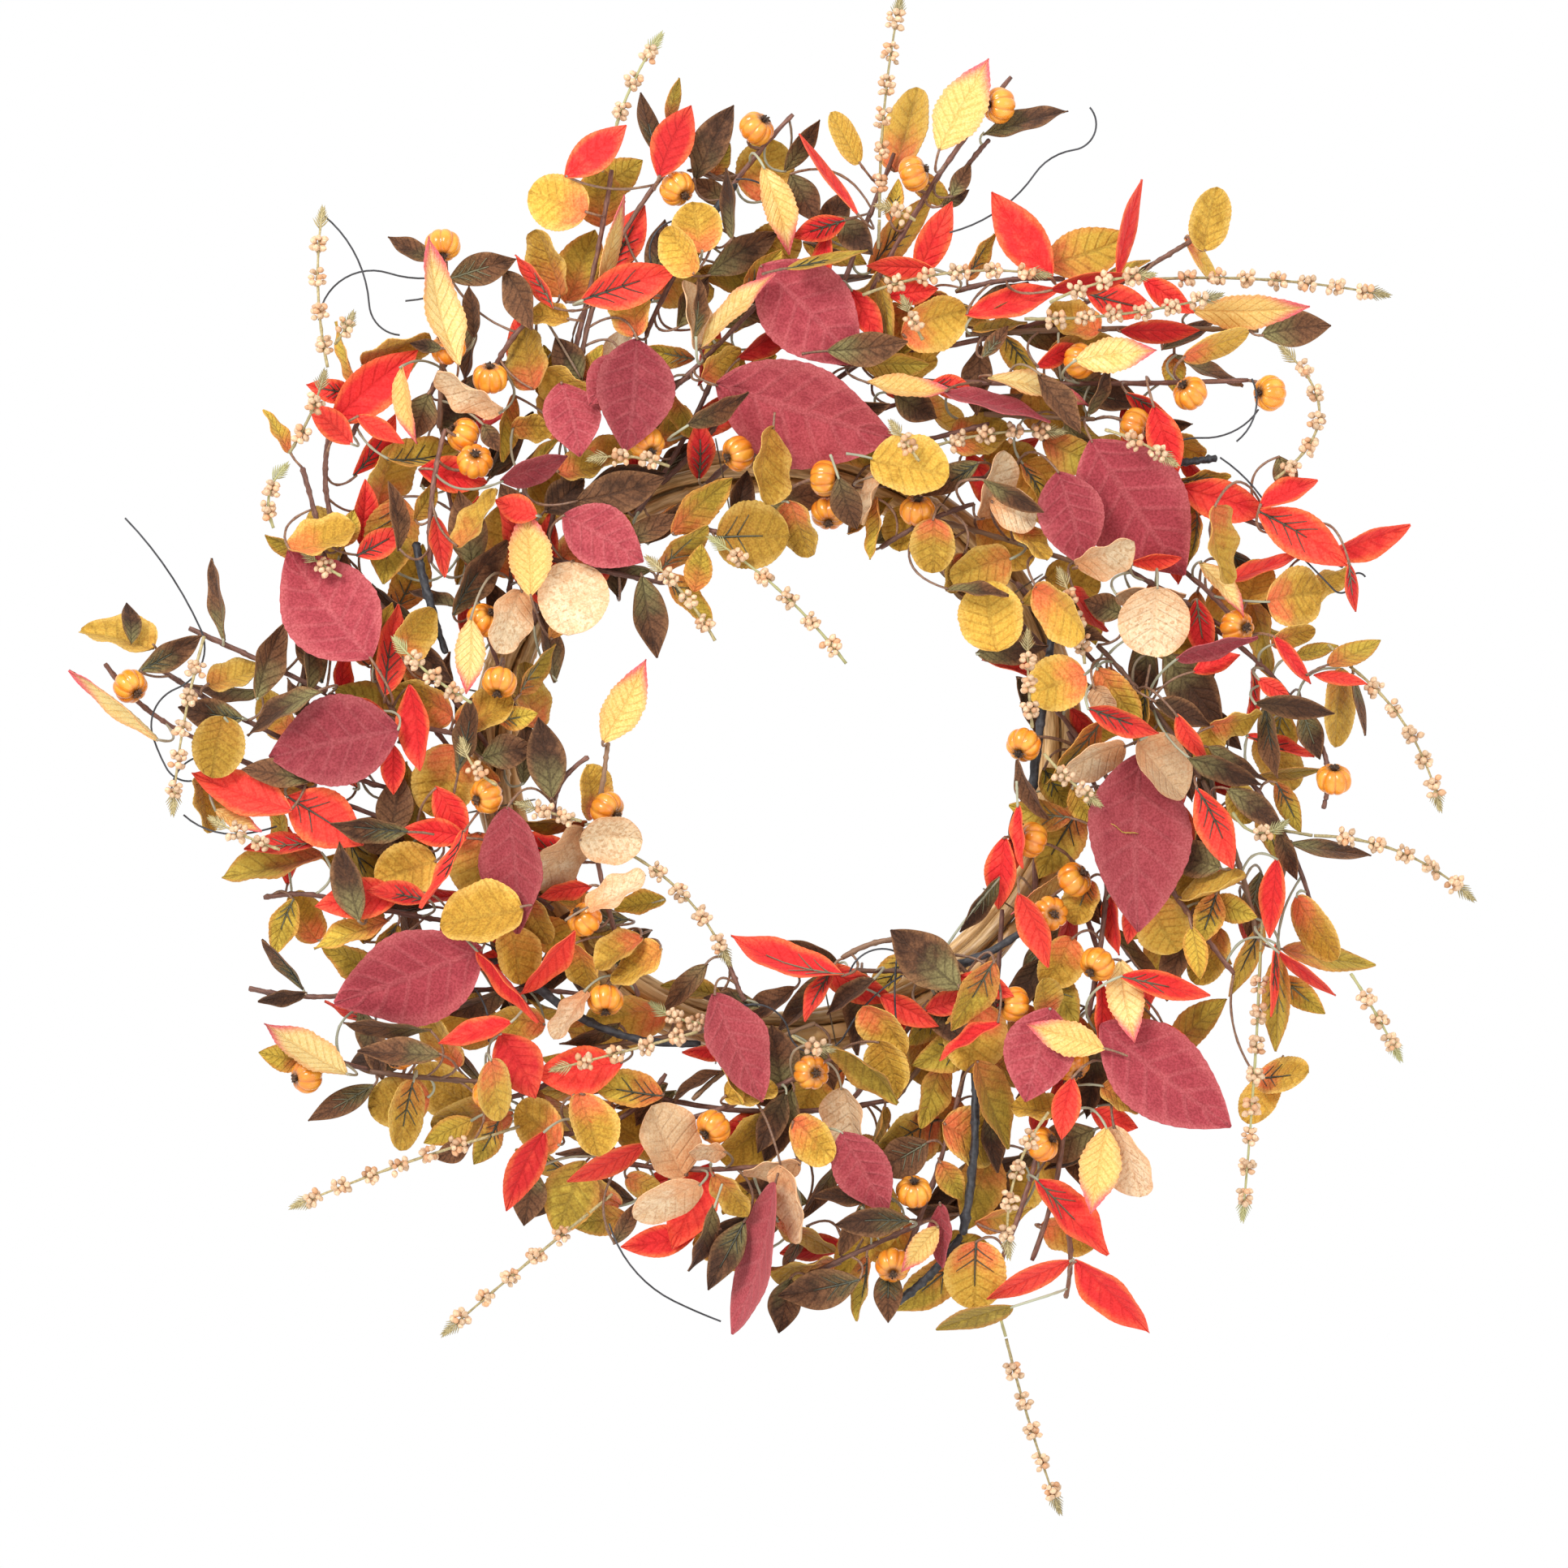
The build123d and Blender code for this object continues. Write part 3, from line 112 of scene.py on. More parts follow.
def islands(node):
    """The separate solids of a CAD node, each as an array of its points."""
    mesh = frame["nodes"][node].data
    points = np.empty(len(mesh.vertices) * 3)
    mesh.vertices.foreach_get("co", points)
    edges = np.empty(len(mesh.edges) * 2, dtype=np.int64)
    mesh.edges.foreach_get("vertices", edges)
    points = points.reshape(-1, 3)
    welded = np.round(points * 2e5).astype(np.int64)  # to 5 microns
    _, first, same = np.unique(welded, axis=0, return_index=True, return_inverse=True)
    same = same.reshape(-1)
    a, b = same[edges.reshape(-1, 2)].T
    label = np.arange(len(first))
    while True:
        before = label.copy()
        low = np.minimum(label[a], label[b])
        np.minimum.at(label, a, low)
        np.minimum.at(label, b, low)
        label = label[label]
        if (label == before).all():
            break
    points = points[first]
    order = np.argsort(label, kind="stable")
    cuts = np.flatnonzero(np.diff(label[order])) + 1
    return [points[group] for group in np.split(order, cuts)]


def unit(v):
    return v / np.linalg.norm(v)


def centreline(points):
    """The middle line of a gently bent wire, as a function of 0 to 1 along it."""
    middle = points.mean(0)
    along = np.linalg.svd(points - middle, full_matrices=False)[2][0]
    t = (points - middle) @ along
    fit = np.polyfit(t, points, 2)
    low, high = t.min(), t.max()

    def at(u):
        s = (low + (high - low) * np.atleast_1d(np.asarray(u, float)))[:, None]
        return fit[0] * s**2 + fit[1] * s + fit[2]

    return at


# ---------------------------------------------------------------- building meshes


class Piece:
    """One object gathered from many small shells."""

    def __init__(self):
        self.points, self.quads, self.maps, self.tints, self.count = [], [], [], [], 0

    def add(self, points, quads, flat, tint):
        """Points n x 3, quads m x 4 (a triangle repeats its last corner), map n x 2 and three tints."""
        self.points.append(points)
        self.quads.append(np.asarray(quads) + self.count)
        self.maps.append(flat)
        self.tints.append(np.tile([*tint, 1.0], (len(points), 1)))
        self.count += len(points)

    def build(self, name, material, body, slot, nodes=()):
        points, quads = np.vstack(self.points), np.vstack(self.quads).astype(np.int32)
        three = quads[:, 2] == quads[:, 3]
        totals = np.where(three, 3, 4).astype(np.int32)
        corners = quads.reshape(-1)[np.stack([np.ones(len(quads), bool)] * 3 + [~three], 1).reshape(-1)]
        mesh = bpy.data.meshes.new(name)
        mesh.vertices.add(len(points))
        mesh.vertices.foreach_set("co", points.reshape(-1).astype(np.float32))
        mesh.loops.add(len(corners))
        mesh.loops.foreach_set("vertex_index", corners)
        mesh.polygons.add(len(quads))
        mesh.polygons.foreach_set("loop_start", (np.cumsum(totals) - totals).astype(np.int32))
        mesh.polygons.foreach_set("loop_total", totals)
        layer = mesh.uv_layers.new(name="flat")
        layer.data.foreach_set("uv", np.vstack(self.maps)[corners].reshape(-1).astype(np.float32))
        tint = mesh.color_attributes.new("tint", "FLOAT_COLOR", "POINT")
        tint.data.foreach_set("color", np.vstack(self.tints).reshape(-1).astype(np.float32))
        mesh.update(calc_edges=True)
        mesh.validate()
        mesh.polygons.foreach_set("use_smooth", np.ones(len(mesh.polygons), bool))
        mesh.materials.append(material)
        made = bpy.data.objects.new(name, mesh)
        bpy.context.scene.collection.objects.link(made)
        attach(made, body)
        if nodes:
            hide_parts(*nodes)
        return made


def grid_quads(rows, columns, closed=False):
    """Quads over a grid of points, joined round its columns where it is closed."""
    r = np.arange(rows - 1)[:, None]
    c = np.arange(columns if closed else columns - 1)[None]
    following = (c + 1) % columns
    return np.stack([r * columns + c, r * columns + following, (r + 1) * columns + following,
                     (r + 1) * columns + c], -1).reshape(-1, 4)


def tube(piece, line, radii, sides, tint, lumps=0.0, seed=0.0, grain=1.0):
    """A round shell along a line, closed at both ends; lumps roughen it."""
    count = len(line)
    forward = np.gradient(line, axis=0)
    forward /= np.linalg.norm(forward, axis=1)[:, None]
    side = np.cross(forward, [0.21, -0.13, 0.97] if abs(forward[0, 2]) < 0.9 else [1.0, 0.1, 0.0])
    side /= np.linalg.norm(side, axis=1)[:, None]
    up = np.cross(side, forward)
    turn = np.linspace(0, TURN, sides, endpoint=False)
    radii = np.broadcast_to(radii, count)[:, None] * np.ones(sides)
    if lumps:
        rough = [
            [noise.noise(Vector((math.cos(a) * 1.4, math.sin(a) * 1.4, seed + r * grain))) for a in turn]
            for r in range(count)
        ]
        radii = radii * (1 + lumps * np.array(rough))
    outward = np.cos(turn)[None, :, None] * side[:, None] + np.sin(turn)[None, :, None] * up[:, None]
    round_points = line[:, None] + radii[..., None] * outward
    points = np.vstack([round_points.reshape(-1, 3), line[:1], line[-1:]])
    ring = np.arange(sides)
    near, far = np.full(sides, count * sides), np.full(sides, count * sides + 1)
    start = np.stack([(ring + 1) % sides, ring, near, near], 1)
    last = (count - 1) * sides
    end = np.stack([last + ring, last + (ring + 1) % sides, far, far], 1)
    length = np.concatenate([[0], np.cumsum(np.linalg.norm(np.diff(line, axis=0), axis=1))])
    flat = np.stack([np.repeat(length / MAP_UNIT, sides), np.tile(turn / TURN, count)], 1)
    flat = np.vstack([flat, [[0, 0.5], [length[-1] / MAP_UNIT, 0.5]]])
    piece.add(points, np.vstack([grid_quads(count, sides, closed=True), start, end]), flat, tint)


# ---------------------------------------------------------------- materials

DARK, WHITE = (0.0, 0.0, 0.0), (1.0, 1.0, 1.0)
EVEN = (1.0, 1.0, 1.0)  # a grain that runs no way more than another
RELIEF = 0.3 * MM


class Shader:
    """A principled material and short ways to wire its nodes."""

    def __init__(self, name, roughness, **settings):
        self.material = bpy.data.materials.new(name)
        self.material.use_nodes = True
        self.nodes, self.links = self.material.node_tree.nodes, self.material.node_tree.links
        self.surface = self.nodes["Principled BSDF"]
        self.surface.inputs["Roughness"].default_value = roughness
        for key, value in settings.items():
            self.surface.inputs[key.replace("_", " ")].default_value = value

    def feed(self, socket, value):
        if hasattr(value, "is_linked"):
            self.links.new(value, socket)
        else:
            socket.default_value = value

    def math(self, operation, a, b=0.0):
        node = self.nodes.new("ShaderNodeMath")
        node.operation = operation
        self.feed(node.inputs[0], a)
        self.feed(node.inputs[1], b)
        return node.outputs[0]

    def plus(self, a, b):
        return self.math("ADD", a, b)

    def less(self, a, b):
        return self.math("SUBTRACT", a, b)

    def times(self, a, b):
        return self.math("MULTIPLY", a, b)

    def shaded(self, colour, amount):
        """A colour made darker or lighter by a factor."""
        return self.mix(1.0, colour, self.mix(amount, DARK, WHITE), "MULTIPLY")

    def mix(self, factor, a, b, way="MIX"):
        node = self.nodes.new("ShaderNodeMix")
        node.data_type, node.blend_type = "RGBA", way
        self.feed(node.inputs[0], factor)
        self.feed(node.inputs[6], a if hasattr(a, "is_linked") else (*a, 1.0))
        self.feed(node.inputs[7], b if hasattr(b, "is_linked") else (*b, 1.0))
        return node.outputs[2]

    def ramp(self, value, low, high):
        node = self.nodes.new("ShaderNodeMapRange")
        node.interpolation_type = "SMOOTHSTEP"
        self.feed(node.inputs[0], value)
        node.inputs[1].default_value, node.inputs[2].default_value = low, high
        return node.outputs[0]

    def flat(self):
        node = self.nodes.new("ShaderNodeUVMap")
        node.uv_map = "flat"
        parts = self.nodes.new("ShaderNodeSeparateXYZ")
        self.links.new(node.outputs[0], parts.inputs[0])
        return node.outputs[0], parts.outputs[0], parts.outputs[1]

    def tint(self):
        node = self.nodes.new("ShaderNodeVertexColor")
        node.layer_name = "tint"
        parts = self.nodes.new("ShaderNodeSeparateColor")
        self.links.new(node.outputs[0], parts.inputs[0])
        return parts.outputs[0], parts.outputs[1], parts.outputs[2]

    def place(self):
        return self.nodes.new("ShaderNodeTexCoord").outputs["Object"]

    def noise(self, scale, detail=3.0, stretch=None, where=None):
        node = self.nodes.new("ShaderNodeTexNoise")
        node.inputs["Scale"].default_value, node.inputs["Detail"].default_value = scale, detail
        where = where or self.place()
        if stretch:
            mapping = self.nodes.new("ShaderNodeMapping")
            mapping.inputs["Scale"].default_value = stretch
            self.links.new(where, mapping.inputs[0])
            where = mapping.outputs[0]
        self.links.new(where, node.inputs["Vector"])
        return node.outputs[0]

    def finish(self, colour, height=None, depth=0.0003, strength=0.6, roughness=None):
        self.feed(self.surface.inputs["Base Color"], colour)
        if height is not None:
            bump = self.nodes.new("ShaderNodeBump")
            bump.inputs["Strength"].default_value, bump.inputs["Distance"].default_value = strength, depth
            self.links.new(height, bump.inputs["Height"])
            self.links.new(bump.outputs[0], self.surface.inputs["Normal"])
        if roughness is not None:
            self.links.new(roughness, self.surface.inputs["Roughness"])
        return self.material


def leaf_material(name, body, second, margin, vein, veins, slant, vein_strength, blush=None, tip=None,
                  spots=None, quilt=0.0, roughness=0.72, raised=False):
    """Printed and pressed fabric: two body colours, a margin, veins, a blush at the base and a tip. A vein
    colour lighter than the leaf is a painted highlight along raised veins.

    veins is the number of pairs of side veins, slant how far they lean towards the tip, and quilt how deep
    the small cells are pressed. raised veins stand up, and others are sunk.
    """
    s = Shader(name, roughness)
    s.surface.inputs["Sheen Weight"].default_value = 0.04
    s.surface.inputs["Specular IOR Level"].default_value = 0.22
    _, along, across = s.flat()
    red, green, blue = s.tint()
    side = s.math("ABSOLUTE", s.times(s.less(across, 0.5), 2.0))
    cloud = s.noise(120.0, 4.0)
    fleck = s.noise(900.0, 2.0)
    mottled = s.ramp(s.plus(cloud, s.times(s.less(red, 0.5), 0.5)), 0.36, 0.64)
    colour = s.mix(mottled, body, second)
    if spots:
        colour = s.mix(s.ramp(s.noise(420.0, 3.0), 0.53, 0.6), colour, spots)
    if blush:
        past_base = s.ramp(s.plus(along, s.times(cloud, 0.5)), 0.34, 0.86)
        near_base = s.less(1.0, past_base)
        colour = s.mix(s.times(near_base, s.ramp(green, 0.0, 0.65)), colour, blush)
    edge = s.ramp(s.plus(side, s.times(cloud, 0.35)), 0.78, 1.18)
    colour = s.mix(s.times(edge, 0.75), colour, margin)
    if tip:
        near_tip = s.ramp(s.plus(along, s.times(s.less(side, 0.5), 0.25)), 0.62, 0.97)
        colour = s.mix(near_tip, colour, tip)
    step = s.math("FRACT", s.less(s.times(along, veins), s.times(side, slant)))
    rib = s.less(1.0, s.ramp(s.math("ABSOLUTE", s.less(step, 0.5)), 0.03, 0.17))
    middle = s.less(1.0, s.ramp(side, 0.02, 0.11))
    lines = s.math("MAXIMUM", s.times(rib, s.less(1.0, s.times(side, 0.45))), middle)
    colour = s.mix(s.times(lines, vein_strength), colour, vein)
    weave = s.mix(s.ramp(fleck, 0.35, 0.65), (0.02, 0.015, 0.01), WHITE)
    colour = s.mix(0.28, colour, weave, "SOFT_LIGHT")
    colour = s.shaded(colour, s.plus(0.70, s.times(blue, 0.52)))
    height = s.plus(s.times(lines, 0.7 if raised else -0.8), s.times(fleck, 0.35))
    if quilt:
        cells = s.nodes.new("ShaderNodeTexVoronoi")
        cells.inputs["Scale"].default_value = 380.0
        s.links.new(s.place(), cells.inputs["Vector"])
        height = s.less(height, s.times(cells.outputs["Distance"], quilt))
    return s.finish(colour, height, 0.0006, 0.75)


def plain_material(name, dark, light, roughness, scale, strength=0.6, **more):
    """A mottled material with a fine relief."""
    s = Shader(name, roughness, **more)
    rough = s.noise(scale, 4.0, EVEN)
    wide = s.noise(scale / 6, 2.0)
    mottled = s.ramp(s.plus(s.times(rough, 0.6), s.times(wide, 0.4)), 0.38, 0.62)
    return s.finish(s.mix(mottled, dark, light), rough, RELIEF, strength)


def tinted_material(name, colours, roughness, scale=500.0, depth=RELIEF, strength=0.6, stretch=None):
    """A mottled material whose pieces differ: a high first tint takes the last colour instead."""
    s = Shader(name, roughness)
    flat = s.flat()[0]
    red, _, blue = s.tint()
    dark, light, other = colours
    rough = s.noise(scale, 4.0) if stretch is None else s.noise(1.0, 5.0, stretch, flat)
    colour = s.mix(s.ramp(rough, 0.35, 0.65), dark, light)
    colour = s.mix(s.ramp(red, 0.55, 0.75), colour, other)
    colour = s.shaded(colour, s.plus(0.7, s.times(blue, 0.5)))
    return s.finish(colour, rough, depth, strength)


LEAF_LOOKS = {
    "burgundy": leaf_material(
        "burgundy_cloth",
        body=(0.345, 0.044, 0.057), second=(0.415, 0.064, 0.076), margin=(0.50, 0.11, 0.115),
        # the vein colour here is lighter than the leaf: a painted highlight along the raised veins
        vein=(0.60, 0.18, 0.18), veins=7.0, slant=1.3, vein_strength=0.2, roughness=0.8, raised=True,
    ),
    "red": leaf_material(
        "red_cloth", body=(0.74, 0.026, 0.026), second=(0.88, 0.06, 0.04), margin=(0.92, 0.20, 0.06),
        vein=(0.52, 0.012, 0.016), veins=7.0, slant=1.6, vein_strength=0.4, tip=(0.88, 0.09, 0.045),
    ),
    "brown": leaf_material(
        "brown_cloth", body=(0.07, 0.029, 0.014), second=(0.17, 0.072, 0.032), margin=(0.26, 0.12, 0.05),
        vein=(0.045, 0.022, 0.014), veins=7.0, slant=1.6, vein_strength=0.5, blush=(0.24, 0.20, 0.08),
    ),
    "olive_oval": leaf_material(
        "olive_oval_cloth", body=(0.50, 0.27, 0.03), second=(0.72, 0.42, 0.06), margin=(0.80, 0.50, 0.12),
        vein=(0.22, 0.13, 0.02), veins=7.0, slant=1.4, vein_strength=0.26, blush=(0.86, 0.20, 0.07),
        quilt=1.4,
    ),
    "olive_pointed": leaf_material(
        "olive_pointed_cloth",
        body=(0.42, 0.27, 0.03), second=(0.66, 0.45, 0.06), margin=(0.72, 0.32, 0.07),
        vein=(0.17, 0.11, 0.02), veins=8.0, slant=1.6, vein_strength=0.34, blush=(0.66, 0.17, 0.05),
        quilt=0.5,
    ),
    "yellow": leaf_material(
        "yellow_cloth", body=(0.86, 0.55, 0.17), second=(0.93, 0.68, 0.27), margin=(0.90, 0.42, 0.16),
        vein=(0.74, 0.38, 0.09), veins=10.0, slant=2.0, vein_strength=0.4, tip=(0.80, 0.14, 0.16),
    ),
    "cream": leaf_material(
        "cream_cloth", body=(0.78, 0.52, 0.29), second=(0.86, 0.66, 0.42), margin=(0.84, 0.48, 0.25),
        vein=(0.66, 0.42, 0.22), veins=7.0, slant=1.4, vein_strength=0.22, blush=(0.82, 0.40, 0.18),
        spots=(0.70, 0.46, 0.26), quilt=0.4,
    ),
}
RIB_COLOURS = ((0.045, 0.05, 0.035), (0.09, 0.09, 0.055), (0.17, 0.16, 0.09))
TWIG_COLOURS = ((0.14, 0.060, 0.045), (0.27, 0.125, 0.085), (0.33, 0.20, 0.10))
STALK_COLOURS = ((0.20, 0.10, 0.065), (0.33, 0.18, 0.10), (0.42, 0.42, 0.29))
CANE_COLOURS = ((0.46, 0.25, 0.085), (0.80, 0.52, 0.23), (0.66, 0.38, 0.14))
STRAND_COLOURS = ((0.34, 0.27, 0.12), (0.52, 0.42, 0.20), (0.42, 0.40, 0.18))
BERRY_COLOURS = ((0.68, 0.42, 0.24), (0.85, 0.62, 0.40), (0.72, 0.38, 0.19))
RIB = tinted_material("moulded_rib", RIB_COLOURS, 0.42, 700.0)
TWIG = tinted_material("twig_bark", TWIG_COLOURS, 0.62, 0.0, 0.5 * MM, 0.8, (2.2, 9.0, 1.0))
STALK = tinted_material("leaf_stalk", STALK_COLOURS, 0.45, 700.0)
CANE = tinted_material("cane_bark", CANE_COLOURS, 0.38, 0.0, 0.6 * MM, 0.9, (0.9, 16.0, 1.0))
BLACK = plain_material("black_twig_skin", (0.018, 0.018, 0.021), (0.055, 0.055, 0.062), 0.55, 420.0, 0.8)
WIRE = plain_material("brown_wire", (0.10, 0.065, 0.035), (0.20, 0.14, 0.08), 0.42, 900.0, Metallic=0.6)
STRAND = tinted_material("strand_stem", STRAND_COLOURS, 0.55, 800.0)
BERRY = tinted_material("berry_skin", BERRY_COLOURS, 0.38, 900.0, 0.2 * MM, 0.4)
FLOWER = plain_material("dry_flower", (0.03, 0.016, 0.01), (0.12, 0.06, 0.03), 0.8, 1200.0, 0.9)


def pumpkin_material():
    """Glossy orange skin: darker grooves, a brown flower end and an olive stalk end."""
    s = Shader("pumpkin_skin", 0.27)
    s.surface.inputs["Coat Weight"].default_value = 0.4
    _, along, across = s.flat()
    blue = s.tint()[2]
    cloud, fine = s.noise(150.0, 3.0), s.noise(900.0, 3.0)
    colour = s.mix(s.ramp(cloud, 0.35, 0.65), (0.93, 0.27, 0.015), (0.96, 0.41, 0.045))
    groove = s.math("ABSOLUTE", s.math("SINE", s.times(across, PUMPKIN_LOBES * math.pi)))
    colour = s.mix(s.less(0.75, s.ramp(groove, 0.0, 0.5)), colour, (0.74, 0.22, 0.03))
    flower_end = s.less(1.0, s.ramp(along, 0.06, 0.24))
    colour = s.mix(s.times(flower_end, 0.8), colour, (0.30, 0.10, 0.02))
    stalk_end = s.ramp(along, 0.80, 0.96)
    colour = s.mix(s.times(stalk_end, 0.6), colour, (0.50, 0.30, 0.06))
    colour = s.shaded(colour, s.plus(0.8, s.times(blue, 0.3)))
    return s.finish(colour, fine, 0.0002, 0.25)


PUMPKIN = pumpkin_material()

# ---------------------------------------------------------------- leaves

STALK_GAP = 3 * MM  # a leaf end farther than this from every stalk has none
stalk_lines = [centreline(points) for points in islands("leaf_stalks")]
stalk_ends = np.array([line([0, 1]) for line in stalk_lines])  # stalk, end, place


def leaf_seat(points):
    """Base, run, side, facing, length and width of the leaf that a CAD plate marks out.

    The base is the end that a stalk reaches, or else the end nearer the middle of the ring.
    """
    middle = points.mean(0)
    axes = np.linalg.svd(points - middle, full_matrices=False)[2]
    low, high = ((points - middle) @ axes.T).min(0), ((points - middle) @ axes.T).max(0)
    middle = middle + (low + high) / 2 @ axes
    length, width = (high - low)[:2]
    run, facing = axes[0], axes[2] * (-1 if axes[2] @ FRONT < 0 else 1)
    ends = np.array([middle - run * length / 2, middle + run * length / 2])
    gaps = np.linalg.norm(stalk_ends[None] - ends[:, None, None], axis=3).min(2)
    if gaps.min() > STALK_GAP:
        which = np.linalg.norm(ends - RING_CENTRE, axis=1).argmin()
    else:
        which = gaps.min(1).argmin()
    run = run * (1 if which == 0 else -1)
    return ends[which], run, np.cross(facing, run), facing, length, width


OUTLINES = {
    "burgundy": lambda u: np.sin(np.pi * u**0.86) ** 0.86,
    "red": lambda u: np.sin(np.pi * u**0.9) ** 0.92,
    "brown": lambda u: np.sin(np.pi * u**0.92) ** 0.95,
    "olive_pointed": lambda u: np.sin(np.pi * u**0.84) ** 0.85,
    "yellow": lambda u: np.sin(np.pi * u**0.85) ** 1.0,
    "olive_oval": lambda u: np.sqrt(np.clip(1 - (2 * u - 1) ** 2, 0, 1)) * (1 - 0.10 * (u - 0.5)),
    "cream": lambda u: np.sqrt(np.clip(1 - (2 * u - 1) ** 2, 0, 1)) * (1 - 0.08 * (u - 0.5)),
}
TEETH = {  # how many along an edge, and how deep
    "burgundy": (26, 0.03),
    "yellow": (18, 0.13),
    "red": (16, 0.03),
    "cream": (14, 0.02),
    "olive_oval": (15, 0.05),
    "olive_pointed": (13, 0.06),
}
BENDS = {"burgundy": 0.55}  # the large leaves lie flatter than the others
CALM, CALM_REACH = 0.2, 40 * MM  # leaves this near a free strand lie flatter still, and it swings clear
STRAND_BODIES = [body for body in sorted(frame["bodies"]) if body.startswith("strand_")]
free_stems = np.vstack([islands(f"{body}_stem")[0] for body in STRAND_BODIES])
LEAF_SHEET = 0.45 * MM
LARGE_LEAF = 48 * MM  # longer leaves have a finer mesh
RIBBED = {"olive_pointed": 0.35, "red": 0.25, "brown": 0.2, "olive_oval": 0.08}  # the share with ribs
CHUNK = {"burgundy": 24, "yellow": 24, "cream": 30}  # leaves in one piece, 50 of the other kinds


def leaf_form(kind, length, width, bends):
    """A leaf's own bends: a function from (0..1 along, -1..1 across) to run, side and rise in metres."""
    cup, curl, wave, twist = rng.uniform((0.06, -0.06, 0.015, -0.35), (0.20, 0.11, 0.055, 0.35)) * bends
    phase, veins = rng.uniform(0, ANY_ANGLE), {"yellow": 10.0}.get(kind, 7.0)
    teeth, bite = TEETH.get(kind, (0, 0.0))
    skew = rng.uniform(-0.03, 0.03)

    def at(u, v):
        half = np.maximum(OUTLINES[kind](u), 0.03) * width / 2
        tooth = 1 + bite * (((u * teeth) % 1.0) - 0.5) * np.abs(v) ** 3 if teeth else 1.0
        side = v * half * tooth + skew * length * np.sin(np.pi * u)
        rise = cup * width * (np.abs(v) ** 1.4 - 0.45) * half / (width / 2)
        rise = rise - curl * length * ((u - 0.45) ** 2 * 3.2 - 0.3)
        ripple = np.sin(TURN * 2.2 * u + phase + (v > 0) * 1.9) * np.abs(v) ** 2.2
        rise = rise + wave * width * ripple
        rise = rise + twist * side * (u - 0.4)
        step = ((u * veins - np.abs(v) * 1.6) % 1.0) - 0.5
        relief = (0.6 if kind == "burgundy" else -0.25) * np.exp(-(step / 0.12) ** 2) * (1 - np.abs(v))
        rise = rise + relief * MM - 0.5 * MM * np.exp(-(v / 0.10) ** 2)
        return u * length, side, rise

    return at


def add_leaf(piece, kind, seat):
    """A leaf with two faces and a rim between them; returns its bends."""
    base, run, side, facing, length, width = seat
    rows, columns = (41, 17) if length > LARGE_LEAF else (33, 13)
    midrib = base + run * length * np.array([[0.1], [0.5], [0.9]])
    gap = np.linalg.norm(free_stems[:, None] - midrib, axis=2).min()
    form = leaf_form(kind, length, width, CALM if gap < CALM_REACH else BENDS.get(kind, 1.0))
    u, v = np.meshgrid(np.linspace(0, 1, rows), np.linspace(-1, 1, columns), indexing="ij")
    x, y, z = form(u, v)
    top = base + x[..., None] * run + y[..., None] * side + z[..., None] * facing
    top = top.reshape(-1, 3)
    low = top - facing * LEAF_SHEET
    flat = np.stack([u, v / 2 + 0.5], -1).reshape(-1, 2)
    tint = rng.uniform(0, 1, 3)
    quads = grid_quads(rows, columns)
    piece.add(top, quads[:, ::-1], flat, tint)
    piece.add(low, quads, flat, tint)
    number = np.arange(rows * columns).reshape(rows, columns)
    rim = np.concatenate([number[0], number[1:, -1], number[-1, -2::-1], number[-2:0:-1, 0]])
    n = np.arange(len(rim))
    after = (n + 1) % len(rim)
    band = np.stack([n, after, after + len(rim), n + len(rim)], 1)
    piece.add(np.concatenate([top[rim], low[rim]]), band, np.tile(flat[rim], (2, 1)), tint)
    return form


def add_ribs(piece, seat, form):
    """The moulded stalk end that runs up the lower half of a leaf, with its side ribs."""
    base, run, side, facing = seat[:4]

    def on_leaf(u, v):
        x, y, z = form(u, v)
        return base + x[:, None] * run + y[:, None] * side + (z[:, None] + 0.35 * MM) * facing

    tint = rng.uniform(0, 1, 3)
    reach = rng.uniform(0.5, 0.72)
    u = np.linspace(0.0, reach, 9)
    tube(piece, on_leaf(u, 0 * u), np.linspace(0.75, 0.3, 9) * MM, 6, tint)
    for pair in range(int(rng.integers(2, 4))):
        for way in (-1, 1):
            start = 0.12 + 0.15 * pair + rng.uniform(-0.02, 0.02)
            t = np.linspace(0, 1, 5)
            line = on_leaf(start + 0.17 * t, way * (0.05 + 0.55 * t))
            tube(piece, line, np.linspace(0.42, 0.2, 5) * MM, 5, tint)


ribs = Piece()
for kind, look in LEAF_LOOKS.items():
    node = f"leaves_{kind}"
    plates = islands(node)
    size = CHUNK.get(kind, 50)
    for start in range(0, len(plates), size):
        piece = Piece()
        for points in plates[start:start + size]:
            seat = leaf_seat(points)
            form = add_leaf(piece, kind, seat)
            if rng.uniform() < RIBBED.get(kind, 0.0):
                add_ribs(ribs, seat, form)
        piece.build(f"{kind}_leaves_{start // size + 1}", look, "wreath", f"leaf_{kind}", (node,))
ribs.build("moulded_leaf_ribs", RIB, "wreath", "stalk")

# ---------------------------------------------------------------- stalks and twigs


def knobbly(line, count, radius, taper, every):
    """Radii along a stem: a taper, with a swelling at each node."""
    length = np.linalg.norm(np.diff(line, axis=0), axis=1).sum()
    s = np.linspace(0, length, count)
    swell = np.exp(-((((s + rng.uniform(0, every)) % every) - every / 2) / (0.9 * MM)) ** 2)
    return radius * (1 - taper * s / length) * (1 + 0.26 * swell)


stalks = Piece()
for line in stalk_lines:
    middle = line(np.linspace(0, 1, 12))
    radii = knobbly(middle, 12, STALK_RADIUS, 0.1, STALK_NODES)
    tube(stalks, middle, radii, 7, rng.uniform(0, 1, 3), 0.25, rng.uniform(0, 99))
stalks.build("leaf_stalks_moulded", STALK, "wreath", "stalk", ("leaf_stalks",))

